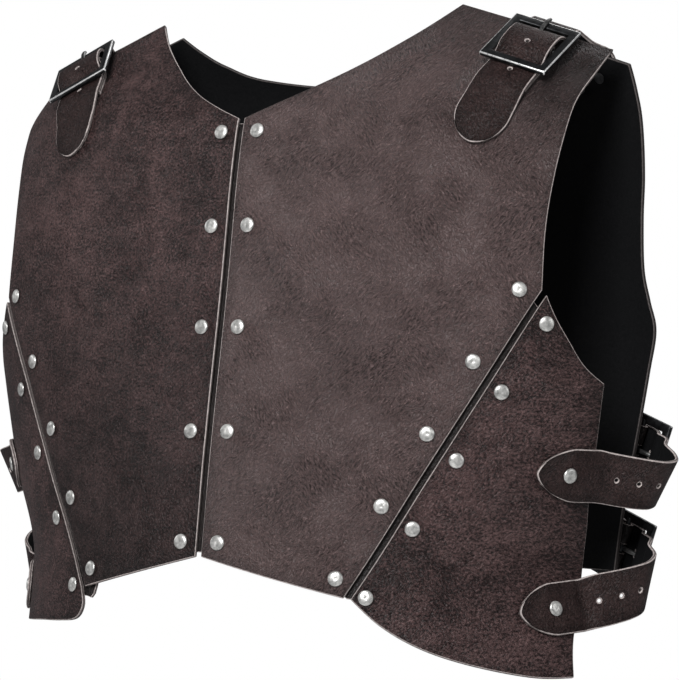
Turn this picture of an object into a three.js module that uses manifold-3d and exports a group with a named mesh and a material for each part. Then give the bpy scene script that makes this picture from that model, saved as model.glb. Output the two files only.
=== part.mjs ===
// Leather chest armour: a two-piece chest, two side panels and a back, riveted over backing strips and
// closed by buckled straps on the shoulders and at the sides.
// Millimetres. +X is the wearer's left, -Y the front and +Z up. The origin lies midway between the crests
// of the two shoulder straps, at the height of their undersides, where the wearer's shoulders carry them.

import * as THREE from 'three';
import { mergeVertices } from 'three/addons/utils/BufferGeometryUtils.js';
import Module from 'manifold-3d';

const wasm = await Module();
wasm.setup();

// ---- Leather ----
const PANEL = 2.4;            // thickness of the five body panels
const STRAP = 2.2;            // thickness of the shoulder and side straps
const STRIP = 1.8;            // thickness of the backing strips behind the seams
const CHAPE = 1.3;            // thickness of the tabs that hold the buckles
const STRIP_GAP = 1.0;        // between a panel and the strip behind it
const STRAP_GAP = 0.6;        // between a panel and a strap that lies on it
const CENTRE_GAP = 4;         // the slit down the middle of the chest
const STRIP_WIDTH = 34;
const STRAP_WIDTH = 32;
const CHAPE_WIDTH = 31;

// ---- Rivets ----
const SHANK_RADIUS = 1.5;
const RIVET_HOLE_RADIUS = 1.9;
const CAP_RADIUS = 4.6;
const CAP_RIM = 0.7;
const CAP_HEIGHT = 1.7;
const WASHER_RADIUS = 3.6;
const WASHER_THICKNESS = 0.8;
const RIVET_GAP = 0.35;
const ROUND_SIDES = 8;

// ---- Buckles: square frames with a bar across the middle ----
const BUCKLE_SIZE = 45;
const BUCKLE_WINDOW = 34;
const BUCKLE_THICKNESS = 3;
const BUCKLE_BEVEL = 0.6;
const BUCKLE_LIFT = 6.9;      // underside of the frame above the panel
const BAR_RADIUS = 1.6;
const BAR_LIFT = 7.4;         // axis of the middle bar above the panel
const PRONG_RADIUS = 1.4;
const PRONG_RING_RADIUS = 2.6;
const PRONG_RING_LENGTH = 5;
const PRONG_SLOT_WIDTH = 4;

// ---- The form that the leather is shaped on ----
// One row a level: its height, the place of the middle of the oval, its half width and how deep it bows.
// tuck is how much further the wearer's right side wraps round than the left. The two sides aren't quite
// alike, as worn leather isn't.
const FRONT_FORM = [
  { z: -402, centre: -166, halfWidth: 226, depth: 188, tuck: 18 },
  { z: -332, centre: -154, halfWidth: 206, depth: 184, tuck: 0 },
  { z: -269, centre: -143.5, halfWidth: 217, depth: 152, tuck: 0 },
  { z: -216, centre: -133, halfWidth: 222, depth: 123, tuck: 0 },
  { z: -161, centre: -122, halfWidth: 225, depth: 98, tuck: 2 },
  { z: -72, centre: -105, halfWidth: 228, depth: 90, tuck: 14 },
  { z: -52, centre: -99, halfWidth: 229, depth: 90, tuck: 18 },
  { z: -13, centre: -59, halfWidth: 232, depth: 90, tuck: 20 },
  { z: 19, centre: -25, halfWidth: 235, depth: 90, tuck: 20 },
];
const BACK_FORM = [
  { z: -402, centre: 52, halfWidth: 208, depth: 58, tuck: 0 },
  { z: -332, centre: 56, halfWidth: 217, depth: 60, tuck: 0 },
  { z: -187, centre: 64, halfWidth: 242, depth: 64, tuck: 0 },
  { z: -102, centre: 60, halfWidth: 240, depth: 62, tuck: 0 },
  { z: -31, centre: 46, halfWidth: 238, depth: 60, tuck: 0 },
  { z: 16, centre: 24, halfWidth: 238, depth: 60, tuck: 0 },
];

// ---- Cutting patterns, as seen from the front: x out from the middle, z up ----
const CHEST = {
  centre: [[CENTRE_GAP / 2, -318.5], [CENTRE_GAP / 2, -54]],
  neckline: [[CENTRE_GAP / 2, -54], [20, -46], [40, -36], [62, -22], [90, 0], [109, 19]],
  hem: [[CENTRE_GAP / 2, -318.5], [89.8, -340.6]],
  seam: [[89.8, -340.6], [189.6, -161]],
  armhole: [[189.6, -161], [190.2, -125], [193.7, -90], [199.7, -52], [203.5, -34], [207.5, -14]],
  shoulder: [[109, 19], [207.5, -14]],
  shoulderRight: [[109, 19], [150, 0.8], [207.5, -14]],
};
const SIDE = {
  seam: [[93.7, -341.2], [191.9, -163.8]],
  armhole: [[191.9, -163.8], [196.3, -176.6], [201.7, -190], [207.5, -205], [214.5, -216.1]],
  rear: [[200.8, -388.9], [196.3, -363.7], [195, -327.3], [201.5, -290], [208.3, -256.3], [214.5, -216.1]],
  hem: [[93.7, -341.2], [109.7, -355.9], [129.4, -368.2], [152.3, -377.7], [184.2, -387.1], [200.8, -388.9]],
};
// The right side panel is cut shorter along its hem.
const SIDE_RIGHT = {
  seam: SIDE.seam,
  armhole: SIDE.armhole,
  rear: [[184, -371], [190, -348], [195, -327.3], [201.5, -290], [208.3, -256.3], [214.5, -216.1]],
  hem: [[93.7, -341.2], [90.5, -352], [97, -360.5], [117, -363.5], [145, -366], [184, -371]],
};
const BACK = {
  shoulderEnd: [210.5, -21],
  neckCorner: [113, 14],
  neckline: [[-113, 14], [-102, 4.5], [-87, -5], [-60, -15], [0, -22],
    [60, -15], [87, -5], [102, 4.5], [113, 14]],
  side: [[196.6, -332], [200.6, -295.5], [207.4, -259], [216, -210.4], [221, -184], [216.4, -166],
    [212, -146], [212.4, -115], [214.6, -88], [215.5, -56], [213.6, -38], [210.5, -21]],
};

// ---- Rivet places: x out from the middle, z up; both sides alike ----
const CENTRE_RIVETS = { x: 12.6, heights: [-62.5, -120.5, -182, -244.5, -310] };
const SEAM_RIVETS = {
  chest: { first: [84.8, -329.4], last: [178, -160.7], count: 5 },
  side: { first: [101.6, -340.4], last: [191.7, -180.8], count: 5 },
};

// ---- Straps ----
// Where each buckle's middle bar crosses its panel. swing is how far the strap's tip turns inwards, and
// rise how far it climbs, for each millimetre along. tail runs from the middle bar to the strap's tip, and
// bend turns its end back outwards.
const SHOULDER_SEATS = {
  left: { x: 165, z: -18.3, swing: 0.34, tail: 90, bend: 0 },
  right: { x: 151.8, z: -18.3, swing: 0.66, tail: 88, bend: 0.0026 },
};
const SIDE_STRAPS = {
  upper: { rivet: [196.4, -269.7], rearEdge: 206, seat: { x: 199.5, z: -256, rise: 0.36 } },
  lower: { rivet: [186.3, -349.6], rearEdge: 196, seat: { x: 191.7, z: -317, rise: 0.36 } },
};
const SIDE_TAIL = 72;
const BEND_START = 15;        // where a bent tail starts to turn
const LOOP_TUCK = { left: 0, right: 10 };   // how much closer the side loops lie, half way round
// How a strap climbs through a buckle: distance from the middle bar towards the strap's tip, and the
// lift of the strap's underside above the panel.
const THROUGH_BUCKLE = [
  { along: 44, lift: 2.2 },
  { along: 34, lift: 3.8 },
  { along: 23, lift: 3.8 },
  { along: 17.5, lift: 3.8 },
  { along: 12, lift: 6.6 },
  { along: 6.5, lift: 10.3 },
  { along: 0, lift: 11.2 },
  { along: -6.5, lift: 10.3 },
  { along: -12, lift: 6.6 },
  { along: -17.5, lift: 3.6 },
  { along: -23, lift: 3.2 },
];
// The chape's folded line: along the panel, round the middle bar and back on itself.
const CHAPE_FOLD = [
  { along: 34, lift: 1.2 },
  { along: 22, lift: 1.2 },
  { along: 10, lift: 1.2 },
  { along: 5, lift: 2.5 },
  { along: 0, lift: 4.6 },
  { along: -1.9, lift: 5.5 },
  { along: -2.7, lift: 7.4 },
  { along: -1.9, lift: 9.3 },
  { along: 0, lift: 10.1 },
  { along: 1.9, lift: 9.3 },
  { along: 2.7, lift: 7.4 },
  { along: 3.8, lift: 5.8 },
  { along: 6.5, lift: 4.1 },
  { along: 10, lift: 2.95 },
  { along: 22, lift: 2.75 },
  { along: 34, lift: 2.75 },
];
// The free run of a shoulder strap over the shoulder, from the buckle to the back panel. share is how far
// the strap has moved out from its place at the buckle to its place on the back, and left and right are the
// heights of its underside on the two shoulders.
const SHOULDER_BRIDGE = [
  { share: 0.14, y: -17.5, left: 0.9, right: -1.4 },
  { share: 0.3, y: -11, left: -1.4, right: -0.2 },
  { share: 0.46, y: -3.5, left: -4.4, right: -0.2 },
  { share: 0.62, y: 5.5, left: -6.1, right: -2.2 },
  { share: 0.78, y: 13.5, left: -7.6, right: -6.3 },
  { share: 0.9, y: 19.3, left: -12.2, right: -11.8 },
];
const SHOULDER_ROOT = [
  { x: 183, z: -20 },
  { x: 180.5, z: -28 },
  { x: 178, z: -36 },
  { x: 175.5, z: -45 },
];
// The free loops of the side straps, from the side panel's rear edge out and round to the buckle. lean is
// how far the upper edge tips outwards for each millimetre of height.
const SIDE_BRIDGE = {
  upper: [
    { x: 213.5, y: -32, z: -271, lean: 0.04 },
    { x: 224, y: -25, z: -272.5, lean: 0.08 },
    { x: 235.5, y: -18.5, z: -273.5, lean: 0.14 },
    { x: 242.5, y: -11.5, z: -274, lean: 0.2 },
    { x: 243, y: -3, z: -273, lean: 0.24 },
    { x: 237, y: 5, z: -270.5, lean: 0.2 },
    { x: 228, y: 11.5, z: -267.2, lean: 0.1 },
  ],
  lower: [
    { x: 204.5, y: -31, z: -344.5, lean: 0.02 },
    { x: 213, y: -24, z: -341.5, lean: 0.04 },
    { x: 221, y: -17, z: -338.5, lean: 0.06 },
    { x: 226, y: -9, z: -335.5, lean: 0.08 },
    { x: 225.5, y: -1.5, z: -332, lean: 0.08 },
    { x: 219, y: 5, z: -328, lean: 0.04 },
  ],
};

// ---- Materials ----
const leather = (colour) => new THREE.MeshStandardMaterial({ color: colour, roughness: 0.55, metalness: 0 });
const metal = (colour, roughness) =>
  new THREE.MeshStandardMaterial({ color: colour, roughness, metalness: 1 });
const PANEL_COLOUR = 0x43352f;
const STRAP_COLOUR = 0x3c2f2b;
const STRIP_COLOUR = 0x2c2422;
const GUNMETAL = 0x3b3c3f;
const NICKEL = 0xc9c8c4;

// Value of one column of a form at a height: a smooth curve through the rows that never overshoots them.
function level(rows, z, column) {
  const last = rows.length - 1;
  let low = 0;
  while (low < last - 1 && z > rows[low + 1].z) low += 1;
  const rise = (k) => (rows[k + 1][column] - rows[k][column]) / (rows[k + 1].z - rows[k].z);
  const slope = (k) => {
    if (k === 0) return rise(0);
    if (k === last) return rise(last - 1);
    const product = rise(k - 1) * rise(k);
    return product > 0 ? (2 * product) / (rise(k - 1) + rise(k)) : 0;
  };
  const step = rows[low + 1].z - rows[low].z;
  const t = (z - rows[low].z) / step;
  const s = 1 - t;
  const ends = rows[low][column] * s * s * (1 + 2 * t) + rows[low + 1][column] * t * t * (3 - 2 * t);
  return ends + step * t * s * (slope(low) * s - slope(low + 1) * t);
}

// A face of the form: outward is -1 at the front and +1 at the back.
const FRONT = { rows: FRONT_FORM, outward: -1 };
const REAR = { rows: BACK_FORM, outward: 1 };

function faceY(face, x, z) {
  const tuck = x < 0 ? level(face.rows, z, 'tuck') : 0;
  const reach = Math.abs(x) / (level(face.rows, z, 'halfWidth') - tuck);
  const bow = 1 - Math.sqrt(1 - Math.min(reach, 0.995) ** 2);
  return level(face.rows, z, 'centre') - face.outward * level(face.rows, z, 'depth') * bow;
}

function faceNormal(face, x, z) {
  const slopeX = faceY(face, x + 0.5, z) - faceY(face, x - 0.5, z);
  const slopeZ = faceY(face, x, z + 0.5) - faceY(face, x, z - 0.5);
  return new THREE.Vector3(-slopeX, 1, -slopeZ).normalize().multiplyScalar(face.outward);
}

// A point of the pattern laid on the form and moved out by lift.
function facePoint(face, x, z, lift) {
  return new THREE.Vector3(x, faceY(face, x, z), z).addScaledVector(faceNormal(face, x, z), lift);
}

// A curve through pattern points, divided into equal cells.
function run(points, cells) {
  return new THREE.SplineCurve(points.map(([x, z]) => new THREE.Vector2(x, z))).getSpacedPoints(cells);
}

function joined(...runs) {
  return runs.flatMap((points, index) => (index === 0 ? points : points.slice(1)));
}

// Fills a patch between four edges, row by row from the lower edge to the upper one.
function patch(lower, upper, start, end) {
  return start.map((startPoint, j) => {
    const v = j / (start.length - 1);
    return lower.map((lowerPoint, i) => {
      const u = i / (lower.length - 1);
      const point = new THREE.Vector2();
      point.addScaledVector(lowerPoint, 1 - v).addScaledVector(upper[i], v);
      point.addScaledVector(startPoint, 1 - u).addScaledVector(end[j], u);
      point.addScaledVector(lower[0], -(1 - u) * (1 - v)).addScaledVector(lower.at(-1), -u * (1 - v));
      point.addScaledVector(upper[0], -(1 - u) * v).addScaledVector(upper.at(-1), -u * v);
      return point;
    });
  });
}

// A closed wall between two sheets of points that have the same rows and columns.
function wall(outer, inner) {
  const rows = outer.length;
  const columns = outer[0].length;
  const sheet = rows * columns;
  const positions = [...outer.flat(), ...inner.flat()].flatMap((point) => [point.x, point.y, point.z]);
  const faces = [];
  const quad = (a, b, c, d) => faces.push(a, b, c, a, c, d);
  for (let j = 0; j < rows - 1; j += 1) {
    for (let i = 0; i < columns - 1; i += 1) {
      const a = j * columns + i;
      quad(a, a + 1, a + columns + 1, a + columns);
      quad(sheet + a, sheet + a + columns, sheet + a + columns + 1, sheet + a + 1);
    }
  }
  const rim = [];
  for (let i = 0; i < columns - 1; i += 1) rim.push(i);
  for (let j = 0; j < rows - 1; j += 1) rim.push(j * columns + columns - 1);
  for (let i = columns - 1; i > 0; i -= 1) rim.push((rows - 1) * columns + i);
  for (let j = rows - 1; j > 0; j -= 1) rim.push(j * columns);
  rim.forEach((a, k) => {
    const b = rim[(k + 1) % rim.length];
    quad(a, sheet + a, sheet + b, b);
  });
  const geometry = new THREE.BufferGeometry();
  geometry.setAttribute('position', new THREE.Float32BufferAttribute(positions, 3));
  geometry.setIndex(faces);
  return outwardFacing(geometry);
}

// Turns every face round where the wall came out inside out.
function outwardFacing(geometry) {
  const place = geometry.getAttribute('position');
  const index = geometry.getIndex();
  const corner = (k) => new THREE.Vector3().fromBufferAttribute(place, index.getX(k));
  let volume = 0;
  for (let k = 0; k < index.count; k += 3) volume += corner(k).dot(corner(k + 1).cross(corner(k + 2)));
  if (volume < 0) geometry.setIndex(Array.from(index.array).reverse());
  return geometry;
}

// A pattern patch as leather on the form, between two lifts, on one side of the body.
function leatherPatch(face, grid, side, upperLift, lowerLift) {
  const laid = (lift) => grid.map((row) =>
    row.map((point) => facePoint(face, point.x * side, point.y, lift)));
  return wall(laid(upperLift), laid(lowerLift));
}

// ---- Cutting and joining ----
function toSolid(geometry) {
  const bare = geometry.clone();
  bare.deleteAttribute('normal');
  bare.deleteAttribute('uv');
  const merged = mergeVertices(bare, 1e-4);
  const vertProperties = new Float32Array(merged.getAttribute('position').array);
  const triVerts = new Uint32Array(merged.getIndex().array);
  return new wasm.Manifold(new wasm.Mesh({ numProp: 3, vertProperties, triVerts }));
}

function toGeometry(solid) {
  const mesh = solid.getMesh();
  const geometry = new THREE.BufferGeometry();
  geometry.setAttribute('position', new THREE.Float32BufferAttribute(mesh.vertProperties, 3));
  geometry.setIndex(Array.from(mesh.triVerts));
  return geometry;
}

function cutAway(geometry, cutters) {
  return toGeometry(cutters.reduce((solid, cutter) => solid.subtract(toSolid(cutter)), toSolid(geometry)));
}

function fused(geometries) {
  return toGeometry(geometries.map(toSolid).reduce((solid, other) => solid.add(other)));
}

// Moves a shape made around the local origin, with its axis along local Z, to a place on the body.
function placed(geometry, point, across, along, normal) {
  const basis = new THREE.Matrix4().makeBasis(across, along, normal);
  return geometry.applyMatrix4(basis.setPosition(point));
}

function onNormal(geometry, point, normal) {
  const turn = new THREE.Quaternion().setFromUnitVectors(new THREE.Vector3(0, 0, 1), normal);
  return geometry.applyQuaternion(turn).translate(point.x, point.y, point.z);
}

// ---- Rivets ----
// A rivet's place: pattern point, its side, what lies under its cap and how deep its washer sits.
function rivetPlace(name, [x, z], side, capLift, depth) {
  return { name, x: x * side, z, capLift, depth };
}

function rivetHole({ x, z }) {
  const drill = new THREE.CylinderGeometry(RIVET_HOLE_RADIUS, RIVET_HOLE_RADIUS, 20, 6).rotateX(Math.PI / 2);
  return onNormal(drill, facePoint(FRONT, x, z, 0), faceNormal(FRONT, x, z));
}

function rivet({ x, z, capLift, depth }) {
  const capFoot = capLift + RIVET_GAP;
  const washer = -depth - RIVET_GAP;
  const profile = [
    [0, washer - WASHER_THICKNESS],
    [WASHER_RADIUS, washer - WASHER_THICKNESS],
    [WASHER_RADIUS, washer],
    [SHANK_RADIUS, washer],
    [SHANK_RADIUS, capFoot],
    [CAP_RADIUS, capFoot],
    [CAP_RADIUS - 0.3, capFoot + CAP_RIM],
    [0, capFoot + CAP_HEIGHT],
  ];
  const turned = new THREE.LatheGeometry(profile.map(([r, h]) => new THREE.Vector2(r, h)), ROUND_SIDES);
  return onNormal(turned.rotateX(Math.PI / 2), facePoint(FRONT, x, z, 0), faceNormal(FRONT, x, z));
}

function between(first, last, count) {
  const mix = (k, axis) => first[axis] + ((last[axis] - first[axis]) * k) / (count - 1);
  return Array.from({ length: count }, (_, k) => [mix(k, 0), mix(k, 1)]);
}

const SIDES = [{ word: 'left', side: 1 }, { word: 'right', side: -1 }];
const STRIP_DEPTH = PANEL + STRIP_GAP + STRIP;

function sideRivets(word, side) {
  const centre = CENTRE_RIVETS.heights.map((z) => [CENTRE_RIVETS.x, z]);
  const chest = between(SEAM_RIVETS.chest.first, SEAM_RIVETS.chest.last, SEAM_RIVETS.chest.count);
  const flank = between(SEAM_RIVETS.side.first, SEAM_RIVETS.side.last, SEAM_RIVETS.side.count);
  const numbered = (name, places) => places.map((place, k) =>
    rivetPlace(`${name}_${word}_${k + 1}`, place, side, 0, STRIP_DEPTH));
  const strap = (height) => rivetPlace(`rivet_side_strap_${word}_${height}`, SIDE_STRAPS[height].rivet, side,
    STRAP_GAP + STRAP, PANEL + 0.7);
  return {
    centre: numbered('rivet_centre', centre),
    chest: numbered('rivet_seam_chest', chest),
    flank: numbered('rivet_seam_side', flank),
    straps: { upper: strap('upper'), lower: strap('lower') },
  };
}

// ---- Panels ----
const CHEST_CELLS = { across: 9, body: 9, upper: 7 };
const SIDE_CELLS = { across: 12, up: 10 };
const BACK_CELLS = { neck: 8, shoulder: 4, up: 14 };

function chestPanel(side, holes) {
  const { across, body, upper } = CHEST_CELLS;
  const grid = patch(
    run(CHEST.hem, across),
    run(side > 0 ? CHEST.shoulder : CHEST.shoulderRight, across),
    joined(run(CHEST.centre, body), run(CHEST.neckline, upper)),
    joined(run(CHEST.seam, body), run(CHEST.armhole, upper)),
  );
  return cutAway(leatherPatch(FRONT, grid, side, 0, -PANEL), holes);
}

function sidePanel(side, holes) {
  const pattern = side > 0 ? SIDE : SIDE_RIGHT;
  const { across, up } = SIDE_CELLS;
  const grid = patch(run(pattern.hem, across), run(pattern.armhole, across), run(pattern.seam, up),
    run(pattern.rear, up));
  return cutAway(leatherPatch(FRONT, grid, side, 0, -PANEL), holes);
}

function backPanel() {
  const { neck, shoulder, up } = BACK_CELLS;
  const mirrored = (points) => points.map(([x, z]) => [-x, z]);
  const rightShoulder = [BACK.neckCorner, BACK.shoulderEnd];
  const grid = patch(
    run(mirrored([BACK.side[0]]).concat([BACK.side[0]]), neck + 2 * shoulder),
    joined(run(mirrored(rightShoulder).reverse(), shoulder), run(BACK.neckline, neck),
      run(rightShoulder, shoulder)),
    run(mirrored(BACK.side), up),
    run(BACK.side, up),
  );
  return leatherPatch(REAR, grid, 1, 0, -PANEL);
}

// ---- Backing strips ----
function centreStrip(holes) {
  const half = STRIP_WIDTH / 2;
  const cells = { across: 2, up: 20 };
  const [bottom, top] = [CHEST.centre[0][1] + 3, CHEST.centre[1][1] - 2];
  const grid = patch(
    run([[-half, bottom], [half, bottom]], cells.across),
    run([[-half, top], [half, top]], cells.across),
    run([[-half, bottom], [-half, top]], cells.up),
    run([[half, bottom], [half, top]], cells.up),
  );
  return cutAway(leatherPatch(FRONT, grid, 1, -PANEL - STRIP_GAP, -STRIP_DEPTH), holes);
}

// The strip behind a side seam runs along the middle of the slit. Its upper end is cut to the armhole. On
// the right its lower end shows as a short tongue under the hem, on the left it stops at the hem.
function seamStrip(side, holes) {
  const foot = new THREE.Vector2(...CHEST.seam[0]).add(new THREE.Vector2(...SIDE.seam[0])).divideScalar(2);
  const head = new THREE.Vector2(...CHEST.seam[1]).add(new THREE.Vector2(...SIDE.seam[1])).divideScalar(2);
  const length = foot.distanceTo(head);
  const along = head.clone().sub(foot).normalize();
  const out = new THREE.Vector2(along.y, -along.x);
  const half = STRIP_WIDTH / 2;
  const spot = (up, sideways) =>
    foot.clone().addScaledVector(along, up).addScaledVector(out, sideways).toArray();
  const cells = { across: 4, up: 9 };
  const lower = side > 0 ? [spot(10, -half), spot(1, -4), spot(1, 2), spot(9, half)]
    : [spot(7, -half), spot(-7, -4), spot(-5, 2), spot(5, half)];
  const upper = [spot(length + 2, -half), spot(length - 17, half)];
  const grid = patch(run(lower, cells.across), run(upper, cells.across), run([lower[0], upper[0]], cells.up),
    run([lower.at(-1), upper.at(-1)], cells.up));
  return cutAway(leatherPatch(FRONT, grid, side, -PANEL - STRIP_GAP, -STRIP_DEPTH), holes);
}

// ---- Buckle seats ----
// A seat is where a buckle's middle bar crosses its panel: along points to the strap's tip.
function buckleSeat(face, x, z, headingX, headingZ, bend = 0) {
  const reach = 12 / Math.hypot(headingX, headingZ);
  const middle = facePoint(face, x, z, 0);
  const along = facePoint(face, x + headingX * reach, z + headingZ * reach, 0).sub(middle).normalize();
  const across = new THREE.Vector3().crossVectors(along, faceNormal(face, x, z)).normalize();
  const normal = new THREE.Vector3().crossVectors(across, along);
  return { face, middle, along, across, normal, bend };
}

// A point of a seat. Towards the strap's tip it follows the panel, and the other way it runs straight on.
function seatPoint(seat, along, across, lift) {
  const bent = Math.max(along - BEND_START, 0);
  const turn = Math.atan(2 * seat.bend * bent);
  const flat = seat.middle.clone().addScaledVector(seat.along, along - across * Math.sin(turn));
  flat.addScaledVector(seat.across, seat.bend * bent ** 2 + across * Math.cos(turn));
  if (along < 0) return flat.addScaledVector(seat.normal, lift);
  const laid = facePoint(seat.face, flat.x, flat.z, lift);
  const share = Math.min(along / 12, 1);
  return flat.addScaledVector(seat.normal, lift).lerp(laid, share);
}

function shoulderSeat(word, side) {
  const { x, z, swing, bend } = SHOULDER_SEATS[word];
  return buckleSeat(FRONT, x * side, z, -swing * side, -1, -bend * side);
}

function sideSeat(side, height) {
  const { x, z, rise } = SIDE_STRAPS[height].seat;
  return buckleSeat(REAR, x * side, z, -side, rise);
}

// ---- Buckles ----
function square(path, half) {
  return path.moveTo(-half, -half).lineTo(half, -half).lineTo(half, half).lineTo(-half, half).closePath();
}

function buckle(seat) {
  const frameShape = square(new THREE.Shape(), BUCKLE_SIZE / 2 - BUCKLE_BEVEL);
  frameShape.holes.push(square(new THREE.Path(), BUCKLE_WINDOW / 2 + BUCKLE_BEVEL));
  const frame = new THREE.ExtrudeGeometry(frameShape, {
    depth: BUCKLE_THICKNESS - 2 * BUCKLE_BEVEL,
    bevelThickness: BUCKLE_BEVEL,
    bevelSize: BUCKLE_BEVEL,
    bevelSegments: 1,
  }).translate(0, 0, BUCKLE_LIFT + BUCKLE_BEVEL);
  const barLength = BUCKLE_WINDOW + 5;
  const bar = new THREE.CylinderGeometry(BAR_RADIUS, BAR_RADIUS, barLength, ROUND_SIDES).rotateZ(Math.PI / 2)
    .translate(0, 0, BAR_LIFT);
  const ring = new THREE.CylinderGeometry(
    PRONG_RING_RADIUS, PRONG_RING_RADIUS, PRONG_RING_LENGTH, ROUND_SIDES,
  ).rotateZ(Math.PI / 2).translate(0, 0, BAR_LIFT);
  const prongLine = new THREE.CatmullRomCurve3([
    new THREE.Vector3(0, -1, BAR_LIFT + 0.3),
    new THREE.Vector3(0, -8, BAR_LIFT + 1),
    new THREE.Vector3(0, -15, BUCKLE_LIFT + BUCKLE_THICKNESS + 0.9),
    new THREE.Vector3(0, -19, BUCKLE_LIFT + BUCKLE_THICKNESS + 1.3),
    new THREE.Vector3(0, -23.2, BUCKLE_LIFT + BUCKLE_THICKNESS + 0.6),
  ]);
  const section = new THREE.Shape().absarc(0, 0, PRONG_RADIUS, 0, 2 * Math.PI);
  const prong = new THREE.ExtrudeGeometry(section, { steps: 6, curveSegments: 3, extrudePath: prongLine });
  const whole = fused([frame, bar, ring, prong]);
  return placed(whole, seat.middle, seat.across, seat.along, seat.normal);
}

// ---- Straps and chapes ----
// A strip of leather through stations, each a row of points across its underside. The thickness lies on
// the side that out points to at the first station.
function strapWall(stations, thickness, out) {
  const last = stations.length - 1;
  const normals = stations.map((row, k) => {
    const before = stations[Math.max(k - 1, 0)];
    const after = stations[Math.min(k + 1, last)];
    const across = row.at(-1).clone().sub(row[0]);
    return row.map((_, i) => after[i].clone().sub(before[i]).cross(across).normalize());
  });
  const turn = Math.sign(normals[0][0].dot(out));
  const top = stations.map((row, k) => row.map((point, i) =>
    point.clone().addScaledVector(normals[k][i], thickness * turn)));
  return wall(top, stations);
}

const ACROSS = [-1, 0, 1];    // the points across a strap, as shares of its half width
const STRAP_HALF = STRAP_WIDTH / 2;

// Half width of a strap at a distance from its rounded tip.
function tipHalf(distance) {
  return distance >= STRAP_HALF ? STRAP_HALF : Math.sqrt(STRAP_HALF ** 2 - (STRAP_HALF - distance) ** 2);
}

function seatStation(seat, along, lift, half = STRAP_HALF) {
  return ACROSS.map((share) => seatPoint(seat, along, share * half, lift));
}

// A strap from its tip on the panel to the far side of the buckle.
function throughBuckle(seat, tipAlong) {
  const tip = [0.8, 4, 9, 16].map((distance) =>
    seatStation(seat, tipAlong - distance, STRAP_GAP, tipHalf(distance)));
  const flat = [];
  for (let along = tipAlong - 25; along > 52; along -= 10) flat.push(seatStation(seat, along, STRAP_GAP));
  return [...tip, ...flat, ...THROUGH_BUCKLE.map(({ along, lift }) => seatStation(seat, along, lift))];
}

function chape(seat) {
  const points = CHAPE_FOLD.map(({ along, lift }) => new THREE.Vector2(along, lift));
  const half = CHAPE_WIDTH / 2;
  const offset = (k, distance) => {
    const heading = points[Math.min(k + 1, points.length - 1)].clone().sub(points[Math.max(k - 1, 0)]);
    heading.normalize();
    return points[k].clone().add(new THREE.Vector2(-heading.y, heading.x).multiplyScalar(distance));
  };
  const sheet = (distance) => points.map((_, k) => {
    const { x, y } = offset(k, distance);
    return ACROSS.map((share) => seatPoint(seat, x, share * half, y));
  });
  const folded = wall(sheet(CHAPE / 2), sheet(-CHAPE / 2));
  const slot = new THREE.BoxGeometry(PRONG_RING_LENGTH + 1.2, 9.6, 16).translate(0, 0.8, BAR_LIFT + 1.5);
  return cutAway(folded, [placed(slot, seat.middle, seat.across, seat.along, seat.normal)]);
}

// Widens the slot that the prong comes up through.
function prongSlot(seat) {
  const slot = new THREE.BoxGeometry(PRONG_SLOT_WIDTH, 11.5, 14).translate(0, -10.5, BAR_LIFT + 1.5);
  return placed(slot, seat.middle, seat.across, seat.along, seat.normal);
}

function punchedHole(point, normal, radius) {
  return onNormal(new THREE.CylinderGeometry(radius, radius, 8, 8).rotateX(Math.PI / 2), point, normal);
}

// Direction across a station, from its first point to its last.
function acrossOf(station) {
  return station.at(-1).clone().sub(station[0]).normalize();
}

// Free stations between two others; the direction across turns evenly from one to the other.
function bridge(points, from, to, leans = []) {
  return points.map((point, k) => {
    const across = acrossOf(from).lerp(acrossOf(to), (k + 1) / (points.length + 1));
    across.x += (leans[k] ?? 0) * Math.sign(across.z * point.x);
    across.normalize();
    return ACROSS.map((share) => point.clone().addScaledVector(across, share * STRAP_HALF));
  });
}

// Stations on a face. They run along the rows, square to them, with the first point on the side of reference.
function faceStations(face, rows, side, reference) {
  const middles = rows.map(({ x, z }) => facePoint(face, x * side, z, 0));
  return rows.map(({ x, z, half = STRAP_HALF }, k) => {
    const heading = middles[Math.min(k + 1, rows.length - 1)].clone().sub(middles[Math.max(k - 1, 0)]);
    const across = heading.cross(faceNormal(face, x * side, z)).normalize();
    if (across.dot(reference) < 0) across.negate();
    return ACROSS.map((share) => facePoint(face, x * side + across.x * share * half,
      z + across.z * share * half, STRAP_GAP));
  });
}

function shoulderStrap(word, side) {
  const seat = shoulderSeat(word, side);
  const { tail } = SHOULDER_SEATS[word];
  const front = throughBuckle(seat, tail);
  const root = faceStations(REAR, SHOULDER_ROOT, side, seat.across);
  const [start, end] = [front.at(-1)[1].x, root[0][1].x];
  const over = SHOULDER_BRIDGE.map((row) =>
    new THREE.Vector3(start + (end - start) * row.share, row.y, row[word]));
  const strap = strapWall([...front, ...bridge(over, front.at(-1), root[0]), ...root], STRAP, seat.normal);
  const hole = punchedHole(seatPoint(seat, 3, 0, 12), seat.normal, 1.3);
  return cutAway(strap, [prongSlot(seat), hole]);
}

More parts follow.
